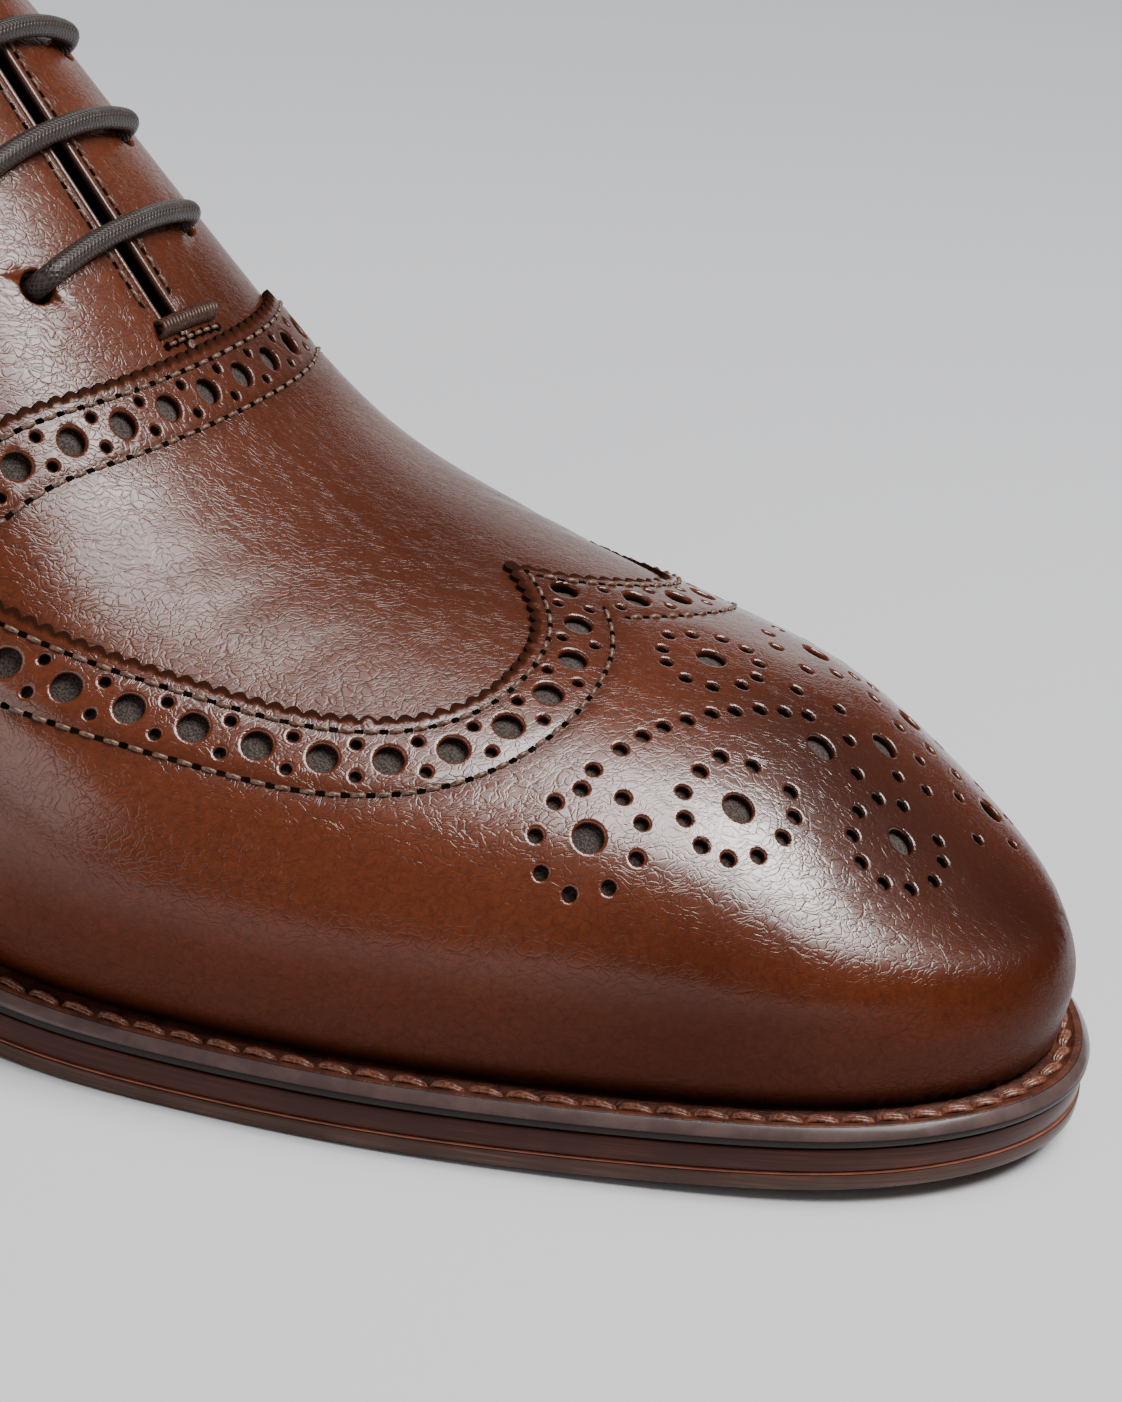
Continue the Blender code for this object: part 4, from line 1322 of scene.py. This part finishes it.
# The welt's last colour is the painted highlight of its bevel
WELT = welt_leather("dyed_welt", (0.135, 0.040, 0.022), (0.058, 0.017, 0.010), (0.125, 0.080, 0.074))
EDGE = edge_leather("inked_edge", (0.120, 0.034, 0.021), (0.052, 0.017, 0.012), 0.08)
BROWN_EDGE = edge_leather("brown_edge", (0.170, 0.088, 0.066), (0.080, 0.042, 0.031), 0.08)
LIFT_EDGE = edge_leather("lift_edge", (0.110, 0.044, 0.028), (0.036, 0.018, 0.013), 0.15)
LINE = plain_finish("orange_line", (0.24, 0.065, 0.032), 0.4)
RUBBER = plain_finish("heel_rubber_black", (0.012, 0.012, 0.012), 0.55, 0.00008)
# painted shade: near black for the awl holes
AWL_HOLE_SHADE = plain_finish("awl_hole_painted_shade", (0.004, 0.002, 0.001), 0.9, specular=0.0)
UPPER_THREAD = waxed_thread("tan_thread", (0.26, 0.145, 0.095), (0.095, 0.046, 0.030), 0.38)
TACK_THREAD = waxed_thread("tack_thread", (0.115, 0.048, 0.029), (0.045, 0.018, 0.012), 0.45)
SOLE_THREAD = waxed_thread("copper_thread", (0.33, 0.135, 0.085), (0.13, 0.045, 0.028), 0.26)
LACE = waxed_lace("waxed_brown_lace")
CLOTH = backing_cloth("hole_backing")


def make_wing_cap():
    """Winged toe cap with its pinked edge, punched band and medallion."""
    outline = cap_outline()
    rows = wing_rows(EDGE_ROW) + wing_rows(LOWER_ROW)
    holes = band_holes(front_pattern, wing_rows(HOLE_ROW), (True, False))
    holes += [(p, MEDAL_HOLE) for p in millimetres(MEDAL_LARGE)]
    holes += [(p, MEDAL_DOT) for p in millimetres(MEDAL_DOTS)]
    holes = keep_inside(spaced_apart(holes), outline, HOLE_MARGIN)
    cutting = cut_leather(front_pattern, outline, holes, rows, FINE_NET)
    relief = sewn_relief(front_pattern, rows)
    leather("winged_toe_cap", front_pattern, cutting, (SEAM + CAP_THICK, 0.0012), relief, CAP_CALF,
            ("wing_cap",))
    sheet("cap_hole_backing", front_pattern, cap_outline(0.003), SHEET_NET, CAP_BACKING, CLOTH)
    sew("wing_seam", front_pattern, rows, SEAM + CAP_THICK)


def make_vamp():
    """Vamp with the punched band round the throat."""
    outline = vamp_outline()
    lines = [beside(front_pattern, THROAT_LINE, -d) for d in (EDGE_ROW, LOWER_ROW, HOLE_ROW)]
    clear = ahead_of(np.vstack(wing_rows(-0.0012)))
    lines = [line[~inside(line, clear)] for line in lines]
    rows = lines[:2]
    holes = keep_inside(band_holes(front_pattern, lines[2:], (False,)), outline, HOLE_MARGIN)
    cutting = cut_leather(front_pattern, outline, holes, rows, FINE_NET)
    relief = sewn_relief(front_pattern, rows, CREASES)
    leather("vamp_leather", front_pattern, cutting, (SEAM + VAMP_THICK, SEAM), relief, CALF, ("vamp",))
    sew("throat_seam", front_pattern, rows, SEAM + VAMP_THICK)
    near, far = (beside(front_pattern, THROAT_LINE, -d)[6:-6:2] for d in (0.0024, 0.0084))
    strip = np.vstack([near, far[::-1]])
    sheet("throat_hole_backing", front_pattern, strip, SHEET_NET, THROAT_BACKING, CLOTH)


def top_edge(stations, side, depth=0.0):
    """Pattern points along the collar and the slit, from the throat to the heel or back."""
    collar = seat_height() + COLLAR_BACK * COLLAR_AT(np.clip(stations, COLLAR[0][0], COLLAR[-1][0]))[..., 0]
    at_collar = angle_where(stations, side, lambda p: p[..., 2] > collar)
    at_slit = angle_at_reach(stations, side, SLIT_HALF)
    angle = np.where(stations < FACING_TOP - 1e-6, at_collar, at_slit)
    return np.column_stack([side * stations * HALF_ROUND, climb_at(stations, angle, side) - depth])


COLLAR_STATIONS = np.linspace(THROAT, 0.0, 260)
TOP_LINE = np.vstack([top_edge(COLLAR_STATIONS, -1), top_edge(COLLAR_STATIONS[::-1][1:], 1)])
QUARTERS_END = 0.64


def quarter_outline(hem=TOP_LINE):
    """Both quarters in one piece round the heel, with the slit between their facings; a
    lining takes a hem set back from the top line."""
    stations = np.linspace(-QUARTERS_END, QUARTERS_END, 220)
    foot = np.column_stack([stations * HALF_ROUND, np.full(len(stations), 0.0001)])
    parts = [foot]
    for side in (1, -1):
        end = LAST_NET[side][0][:, -1]
        climb = np.linspace(0.002, between_ribs(np.array([QUARTERS_END]), end)[0], 30)
        front = np.column_stack([np.full(30, side * QUARTERS_END * HALF_ROUND), climb])
        ridge_t = np.linspace(QUARTERS_END, THROAT + 0.001, 14)[1:]
        ridge = np.column_stack([side * ridge_t * HALF_ROUND, between_ribs(ridge_t, end) - 0.00005])
        parts.append((front, ridge))
    (front_in, ridge_in), (front_out, ridge_out) = parts[1:]
    return np.vstack([foot, front_in, ridge_in, hem[::-1], ridge_out[::-1], front_out[::-1]])


def eyelet_spots():
    """Centres of the ten eyelets on the pattern of the quarters."""
    spots = []
    for side in (-1, 1):
        t = FIRST_EYELET - EYELET_STEP * np.arange(EYELET_PAIRS)
        angle = angle_at_reach(t, side, EYELET_REACH)
        spots += list(np.column_stack([side * t * HALF_ROUND, climb_at(t, angle, side)]))
    return spots


def make_quarters():
    """Quarters with punched eyelets and a seam along the facings and the collar."""
    outline = quarter_outline()
    rows = [beside(round_pattern, TOP_LINE[3:-3], -FACING_ROW)]
    holes = [(p, EYELET_HOLE) for p in eyelet_spots()]
    cutting = cut_leather(round_pattern, outline, holes, rows, QUARTER_NET)
    relief = sewn_relief(round_pattern, rows, CREASES)
    leather("quarters", round_pattern, cutting, QUARTER_LEATHER, relief, CALF, ("upper",))
    sew("facing_seam", round_pattern, rows, 0.0)
    run = np.abs(TOP_LINE[:, 0]) / HALF_ROUND
    hem = beside(round_pattern, TOP_LINE, -np.where(run > FACING_TOP - 0.01, 0.0026, 0.0007))
    sheet("quarter_lining", round_pattern, quarter_outline(hem), SHEET_NET, QUARTER_LINING, LINING, holes)


def make_folded_edges():
    """Rounded, folded edges of the facings on both sides of the slit."""
    parts = []
    for side in (-1, 1):
        t = np.linspace(THROAT + 0.0005, FACING_TOP + 0.001, 140)
        angle = angle_at_reach(t, side, SLIT_HALF)
        parts.append(tube(skin(t, angle, side, -0.00028), FOLD, 10))
    finished("folded_edges", mesh_of("folded_edges", *joined(parts)), FOLDED, smooth=80)


def make_bar_tack():
    """Bar tack at the lower end of the slit: a wrapped bar and a row of short stitches."""
    ends = millimetres(BAR_TACK)
    line = ends[0] + (ends[1] - ends[0]) * np.linspace(0, 1, 60)[:, None]
    level = SEAM + 0.0001
    core = on_last(front_pattern, line, level + 0.0002)
    threads = [tube(core, 0.00060 * np.clip(np.sin(math.pi * np.linspace(0.02, 0.98, 60)) * 3, 0.4, 1), 8)]
    shares = np.array((-1.0, -0.8, -0.3, 0.3, 0.8, 1.0))[:, None]
    lifts = level + np.array((-0.0003, 0.0003, 0.0009, 0.0009, 0.0003, -0.0003))
    way = ends[1] - ends[0]
    for middle in even_steps(front_pattern, line, TACK_PITCH):
        across = beside(front_pattern, np.vstack([middle, middle + way * 0.01]), TACK_HALF)[0] - middle
        path = on_last(front_pattern, middle + across * shares + way * 0.03 * shares, lifts)
        threads.append(tube(path, 0.00031, 6))
    finished("bar_tack", mesh_of("bar_tack", *joined(threads)), TACK_THREAD, smooth=80)
    sew("bar_tack_row", front_pattern, [beside(front_pattern, line, -0.0021)], level, 0.0019)


def make_front_lining():
    """Lining of the toe and vamp."""
    inner = front_foot(np.linspace(0.60, 1, 60), 1)
    outer = front_foot(np.linspace(1, 0.60, 60)[1:], -1)
    sheet("toe_lining", front_pattern, np.vstack([inner, outer]), LINING_NET, TOE_LINING, LINING)


def counter_line():
    """Upper edge of the heel counter on the round pattern, outer foot to inner foot."""
    edge = np.transpose(COUNTER_EDGE)
    stations = np.linspace(0.235, 0.0, 24)

    def above_edge(place):
        return place[..., 2] > seat_height() + COLLAR_BACK * np.interp(share(place[..., 0]), *edge)

    halves = []
    for side in (-1, 1):
        angle = angle_where(stations, side, above_edge)
        half = np.column_stack([side * stations * HALF_ROUND, climb_at(stations, angle, side)])
        foot = np.array([(side * 0.262 * HALF_ROUND, 0.0001)])
        halves.append(np.vstack([foot, half]))
    return smooth_line(np.vstack([halves[0][:-1:2], halves[1][::-1][::2]]))


def make_heel_counter():
    """Heel counter with its pinked edge and punched band."""
    line = counter_line()
    edge = pinked(round_pattern, line, 1)
    stations = np.linspace(line[-1, 0], line[0, 0], 90)[1:-1]
    outline = np.vstack([edge, np.column_stack([stations, np.full(len(stations), 0.0001)])])
    rows = [beside(round_pattern, line[30:-30], -EDGE_ROW), beside(round_pattern, line[45:-45], -LOWER_ROW)]
    holes = band_holes(round_pattern, [beside(round_pattern, line[40:-40], -HOLE_ROW)], (False,))
    holes = keep_inside(holes, outline, HOLE_MARGIN)
    cutting = cut_leather(round_pattern, outline, holes, rows, COUNTER_NET)
    relief = sewn_relief(round_pattern, rows)
    leather("heel_counter_leather", round_pattern, cutting, (SEAM + COUNTER_THICK, SEAM), relief, CALF,
            ("heel_counter",))
    sew("counter_seam", round_pattern, rows, SEAM + COUNTER_THICK)


def grid_faces(rows, columns):
    """Faces between rows of points, each row a closed ring."""
    faces = []
    for i in range(rows - 1):
        for j in range(columns):
            m = (j + 1) % columns
            faces.append((i * columns + j, i * columns + m, (i + 1) * columns + m, (i + 1) * columns + j))
    return faces


def swept(rings, closed_way=False):
    """Points and faces of a body through closed rings, capped or joined end to end."""
    rings = np.asarray(rings)
    count, size = rings.shape[:2]
    faces = grid_faces(count, size)
    last = (count - 1) * size
    if closed_way:
        faces += [(last + j, last + (j + 1) % size, (j + 1) % size, j) for j in range(size)]
    else:
        faces += [tuple(range(size))[::-1], tuple(range(last, count * size))]
    return rings.reshape(-1, 3), faces


def make_tongue():
    """Tongue under the facings, its upper end rounded."""
    stations = np.linspace(TONGUE_WIDTHS[0][0], 0.655, 70)[:, None]
    half = TONGUE_HALF * np.interp(stations, *np.transpose(TONGUE_WIDTHS))
    out_from_ridge = np.linspace(0, 1, 23)
    sheets = []
    upper = SHELL_WALL + TONGUE_ROOM
    for depth, round_off in ((upper, 1), (upper + TONGUE_THICK, -1)):
        sides = []
        for side in (-1, 1):
            t, reach = np.broadcast_arrays(stations, np.maximum(half * out_from_ridge, 0.00001))
            angle = angle_at_reach(t, side, reach)
            rounding = 0.0008 * np.clip((out_from_ridge - 0.96) / 0.04, 0, 1) * round_off
            sides.append(skin(t, angle, side, -depth - rounding))
        sheets.append(np.concatenate([sides[0][:, ::-1], sides[1][:, 1:]], axis=1))
    rings = np.concatenate([sheets[0], sheets[1][:, ::-1]], axis=1)
    mesh = mesh_of("tongue_leather", *swept(rings))
    set_values(mesh, "above_welt", np.full(len(mesh.vertices), COLLAR_BACK))
    finished("tongue_leather", mesh, TONGUE_CALF_PAINTED_SHADE, ("tongue",))


def lace_path(t):
    """Way of one lace bar: out of one eyelet, across the facings and into the other."""
    reaches = EYELET_REACH * np.array((1.0, 1.0, 0.992, 0.955, 0.88, 0.76, 0.6, 0.4, 0.2, 0.001))
    lifts = np.array((-0.0034, -0.0012, 0.0004, 0.00145, 0.00185) + (0.0019,) * 5)
    halves = []
    for side in (-1, 1):
        angle = angle_at_reach(np.full(len(reaches), t), side, reaches)
        halves.append(skin(np.full(len(reaches), t), angle, side, lifts))
    knots = np.vstack([halves[0], halves[1][::-1][1:]])
    along = run_along(knots)
    return spline(np.column_stack([along, knots]))(np.linspace(0, along[-1], LACE_RINGS)), along[-1]


def make_laces():
    """Five lace bars, each with a map of its length and its round for the braid."""
    for number in range(EYELET_PAIRS):
        path, length = lace_path(FIRST_EYELET - EYELET_STEP * number)
        name = f"lace_{number + 1}"
        mesh = mesh_of(name, *tube(path, LACE_RADIUS, LACE_SIDES))
        lay = mesh.uv_layers.new(name="along_lace")
        for polygon in mesh.polygons:
            rounds = [vertex % LACE_SIDES for vertex in polygon.vertices]
            crosses_seam = len(rounds) == 4 and LACE_SIDES - 1 in rounds
            for loop in polygon.loop_indices:
                vertex = mesh.loops[loop].vertex_index
                around = vertex % LACE_SIDES
                if around == 0 and crosses_seam:
                    around = LACE_SIDES
                along = vertex // LACE_SIDES / (LACE_RINGS - 1) * length
                lay.data[loop].uv = (along / BRAID_REPEAT, around / LACE_SIDES)
        finished(name, mesh, LACE, (f"lace_bar_{number + 1}",), smooth=80)


SOLE_T = 1 - np.linspace(1, 0, 230)**1.5


def sole_ring(beyond, above):
    """Closed ring round the sole at a reach beyond the feather line and a height over
    the sole's underside."""
    rings = []
    for side in (-1, 1):
        t = SOLE_T if side < 0 else SOLE_T[-2:0:-1]
        here, out = feather(t, side)
        reach = beyond(t) if callable(beyond) else np.full(len(t), beyond)
        plan = here + out * reach[:, None]
        rings.append(np.column_stack([plan, sole_height(plan[:, 0]) + above]))
    return np.vstack(rings)


def banded(name, profile):
    """Mesh swept round the sole; the profile is a loop of (reach, height) pairs."""
    rings = np.stack([sole_ring(reach, height) for reach, height in profile], 1)
    return mesh_of(name, *swept(rings, True))


def layer(name, low, high, inset, finish, nodes):
    """Full sole layer with softened edges, closed across above and below."""
    soft = 0.00035
    rings = [sole_ring(lambda t: welt_reach(t) - inset - cut, z) for cut, z in (
        (0.0040, low), (0.0018, low), (soft, low), (soft * 0.3, low + soft * 0.3), (0, low + soft),
        (0, high - soft), (soft * 0.3, high - soft * 0.3), (soft, high), (0.0030, high))]
    count = len(rings[0])
    points = np.vstack(rings)
    faces = grid_faces(len(rings), count)
    half = len(SOLE_T)
    for ring in (0, len(rings) - 1):
        start = ring * count
        for i in range(1, half - 1):
            a, b = start + i, start + i + 1
            c, d = start + (count - i) % count, start + (count - i - 1) % count
            faces.append((a, b, d, c) if b != d else (a, b, c))
        faces.append((start, start + 1, start + count - 1))
    finished(name, mesh_of(name, points, faces), finish, nodes, smooth=35)


def make_welt():
    """Welt with a sunk channel for its stitches and a bevelled outer lip."""
    high, low = SOLE_EDGE, SOLE_EDGE - WELT_THICK
    inside_edge = -SHELL_WALL - 2 * SEAM

    def part(share_out, back=0.0):
        return lambda t: welt_reach(t) * share_out - back

    top = [
        (inside_edge, low), (inside_edge, high - 0.0002), (part(0.08), high - 0.0002),
        (part(0.30), high - 0.0002), (part(0.37), high - 0.0005), (part(0.50), high - 0.0007),
        (part(0.63), high - 0.0005), (part(0.68), high - 0.00012), (part(0.76), high - 0.00002),
        (part(1.0, 0.0013), high - 0.00004),
    ]
    bevel = [(part(1.0, 0.0011), high - 0.00016), (part(1.0, 0.00035), high - 0.00085),
             (part(1.0, 0.0001), high - 0.00115)]
    edge = [(part(1.0), high - 0.0014), (part(1.0), low + 0.0003), (part(1.0, 0.0002), low)]
    profile = top + bevel + edge
    mesh = banded("welt_strip", profile)
    on_lip = [0.0] * len(top) + [1.0] * len(bevel) + [0.5] * len(edge)
    set_values(mesh, "lip", np.tile(on_lip, len(mesh.vertices) // len(profile)))
    finished("welt_strip", mesh, WELT, ("welt",), smooth=35)


def make_welt_stitches():
    """Lockstitches of the welt, each of three waxed strands laid side by side."""
    half = []
    for side in (-1, 1):
        t = np.linspace(0.30, 1, 600)
        here, out = feather(t, side)
        plan = here + out * (welt_reach(t) * 0.50)[:, None]
        place = np.column_stack([plan, sole_height(plan[:, 0]) + SOLE_EDGE - 0.0008])
        half.append((place, np.column_stack([out, np.zeros(len(t))])))
    line = np.vstack([half[0][0], half[1][0][::-1][1:]])
    outward = np.vstack([half[0][1], half[1][1][::-1][1:]])
    run = run_along(line)
    count = round(run[-1] / WELT_STITCH)
    shares = np.array((0.03, 0.14, 0.38, 0.66, 0.88, 0.97))
    arch = WELT_THREAD * np.array((-0.5, 0.55, 1.0, 1.0, 0.6, -0.6))
    thickness = WELT_THREAD * np.array((0.3, 0.55, 0.62, 0.62, 0.5, 0.28))
    twist = np.array((-0.15, -0.5, -0.2, 0.35, 0.7, 0.35))
    apart = np.array((0.2, 0.8, 1, 1, 0.8, 0.2))
    parts = []
    for n in range(count):
        at = (n + shares) * run[-1] / count
        path = np.column_stack([np.interp(at, run, line[:, k]) for k in range(3)])
        out = np.column_stack([np.interp(at, run, outward[:, k]) for k in range(3)])
        for lane in (-1, 0, 1):
            slant = twist + 0.75 * lane * apart
            strand = path + out * (WELT_THREAD * slant)[:, None]
            strand[:, 2] += arch + WELT_THREAD * 0.25 * (lane == 0)
            parts.append(tube(strand, thickness, 6))
    mesh = mesh_of("welt_stitches", *joined(parts))
    finished("welt_stitches", mesh, SOLE_THREAD, smooth=80)


def make_sole():
    """Outsole and midsole with a coloured line between them."""
    layer("outsole_leather", 0.0, OUTSOLE_THICK, 0.0, BROWN_EDGE, ("outsole",))
    low = OUTSOLE_THICK + SEAM
    layer("midsole_leather", low, low + MIDSOLE_THICK, SEAM, EDGE, ("midsole",))

    def deep(t):
        return welt_reach(t) - 0.0012

    def shallow(t):
        return welt_reach(t) - 0.00022

    line = [(deep, OUTSOLE_THICK - 0.0001), (deep, low + 0.0001), (shallow, low - 0.00008),
            (shallow, OUTSOLE_THICK + 0.00008)]
    finished("sole_line", banded("sole_line", line), LINE, smooth=35)


def breast_station():
    """Share of the way to the toe at which the heel's front face stands."""
    return float(np.interp(ARCH[0][0] * LAST_LENGTH - HEEL_SET, MIDDLE[:, 0], MIDDLE_T))


def heel_ring(z, cut=0.0):
    """Outline of the heel at one height, drawn in by cut."""
    t = np.linspace(0, breast_station(), 60)
    reach = welt_reach(t) - HEEL_TAPER * (HEEL_HEIGHT - z) / HEEL_HEIGHT - cut
    sides = []
    for side in (-1, 1):
        here, out = feather(t, side)
        sides.append(here + out * reach[:, None])
    across = np.linspace(0, 1, 26)[1:-1, None]
    front = sides[0][-1] + (sides[1][-1] - sides[0][-1]) * across
    front[:, 0] -= BREAST_HOLLOW * np.sin(math.pi * across[:, 0])
    ring = np.vstack([sides[0], front, sides[1][:0:-1]])
    ring[:, 0] = np.minimum(ring[:, 0], ring[:, 0].max() - cut * (ring[:, 0] > ring[:, 0].max() - 0.004))
    return np.column_stack([ring, np.full(len(ring), z)])


def make_heel():
    """Stacked leather lifts over a rubber top piece."""
    low, high = TOP_PIECE + SEAM, HEEL_HEIGHT - SEAM
    lifts = 4
    rings = []
    for n in range(lifts):
        a = low + (high - low) * n / lifts
        b = low + (high - low) * (n + 1) / lifts
        rings += [heel_ring(a, LIFT_GROOVE), heel_ring(a + 0.0002), heel_ring((a + b) / 2, -0.00004),
                  heel_ring(b - 0.0002), heel_ring(b, LIFT_GROOVE)]
    mesh = mesh_of("heel_lifts", *swept(rings))
    finished("heel_lifts", mesh, LIFT_EDGE, ("heel_stack",), 40)
    rings = [heel_ring(0.0, 0.0012), heel_ring(0.0, 0.0005), heel_ring(0.0005),
             heel_ring(TOP_PIECE - 0.0003), heel_ring(TOP_PIECE, 0.0003)]
    mesh = mesh_of("heel_top_rubber", *swept(rings))
    finished("heel_top_rubber", mesh, RUBBER, ("heel_top_piece",), 40)


def carried_over():
    """The insole's own solid gets the sock finish."""
    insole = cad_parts["insole"]
    insole.data.materials.clear()
    insole.data.materials.append(SOCK)


# The photograph's view
CAMERA_AZIMUTH = math.radians(24.186)
CAMERA_ELEVATION = math.radians(25.654)
CAMERA_ROLL = math.radians(10.614)
CAMERA_DISTANCE = 0.39365
CAMERA_TARGET = Vector((0.184459, 0.026163, 0.023144))
FOCAL_PIXELS = 3168.233
IMAGE_HEIGHT = 1402
SENSOR = 36


def add_camera():
    """Camera with the photograph's place, turn and lens."""
    azimuth, elevation = CAMERA_AZIMUTH, CAMERA_ELEVATION
    back = Vector((math.sin(azimuth) * math.cos(elevation), -math.cos(azimuth) * math.cos(elevation),
                   math.sin(elevation)))
    level = Vector((math.cos(azimuth), math.sin(azimuth), 0.0))
    up = back.cross(level)
    right = math.cos(CAMERA_ROLL) * level + math.sin(CAMERA_ROLL) * up
    top = -math.sin(CAMERA_ROLL) * level + math.cos(CAMERA_ROLL) * up
    place = Matrix((right, top, back)).transposed().to_4x4()
    place.translation = CAMERA_TARGET + back * CAMERA_DISTANCE
    bpy.ops.object.camera_add()
    camera = bpy.context.object
    camera.name = "photo_camera"
    camera.matrix_world = place
    camera.data.sensor_width = SENSOR
    camera.data.lens = FOCAL_PIXELS * SENSOR / IMAGE_HEIGHT
    camera.data.clip_start = 0.01
    bpy.context.scene.camera = camera


# Colours of the floor near the shoe and behind it, the far one darker as painted shade, and the lights:
# name, place, point looked at, width, height, power and colour
FLOOR_NEAR = (0.86, 0.875, 0.91)
FLOOR_FAR_PAINTED_SHADE = (0.69, 0.71, 0.745)
SHOE = (0.18, 0.02, 0.03)
TOE = (0.24, -0.01, 0.03)
SOFTBOXES = (
    ("key_softbox", (0.57, 0.19, 1.12), SHOE, 0.66, 0.76, 15.6, (1.0, 0.985, 0.975)),
    ("toe_softbox", (0.76, 0.36, 1.04), TOE, 0.36, 0.32, 4.4, (1.0, 0.985, 0.975)),
    ("top_softbox", (0.08, 0.38, 1.20), SHOE, 0.6, 0.4, 1.6, (1.0, 0.99, 0.98)),
    ("side_softbox", (-0.50, -1.00, 0.50), SHOE, 1.5, 0.8, 4.3, (1.0, 0.99, 0.98)),
    ("back_softbox", (-0.85, 2.10, 0.40), SHOE, 1.7, 0.8, 3.2, (0.98, 0.99, 1.0)),
)


def add_softbox(name, place, aim, width, height, power, colour):
    """Rectangular light that looks at the point aim."""
    bpy.ops.object.light_add(type="AREA", location=place)
    light = bpy.context.object
    light.name = name
    light.data.shape = "RECTANGLE"
    light.data.size = width
    light.data.size_y = height
    light.data.energy = power
    light.data.color = colour
    light.rotation_euler = (Vector(aim) - Vector(place)).to_track_quat("-Z", "Y").to_euler()


def add_studio():
    """Pale floor painted darker behind the shoe as shade, soft overhead and side lights and an even
    surround.
    """
    bpy.ops.mesh.primitive_plane_add(size=6.0)
    floor = bpy.context.object
    floor.name = "studio_floor"
    made, tree, shader = new_material("pale_floor", 0.7, specular=0.2)
    across = node(tree, "ShaderNodeSeparateXYZ", {0: object_space(tree)})
    # painted shade: the floor darkens away from the camera
    deep = spread(tree, across.outputs["Y"], -0.16, 0.45)
    feed(tree, shader, {"Base Color": blend_colours(tree, deep, FLOOR_NEAR, FLOOR_FAR_PAINTED_SHADE)})
    floor.data.materials.append(made)
    world = bpy.data.worlds.new("studio_surround")
    bpy.context.scene.world = world
    world.use_nodes = True
    background = world.node_tree.nodes["Background"]
    feed(world.node_tree, background.inputs, {"Color": (0.85, 0.865, 0.89), "Strength": 0.04})
    for box in SOFTBOXES:
        add_softbox(*box)


add_camera()
make_wing_cap()
make_vamp()
make_quarters()
make_folded_edges()
make_bar_tack()
make_front_lining()
make_heel_counter()
make_tongue()
make_laces()
make_welt()
make_welt_stitches()
make_sole()
make_heel()
carried_over()
add_studio()
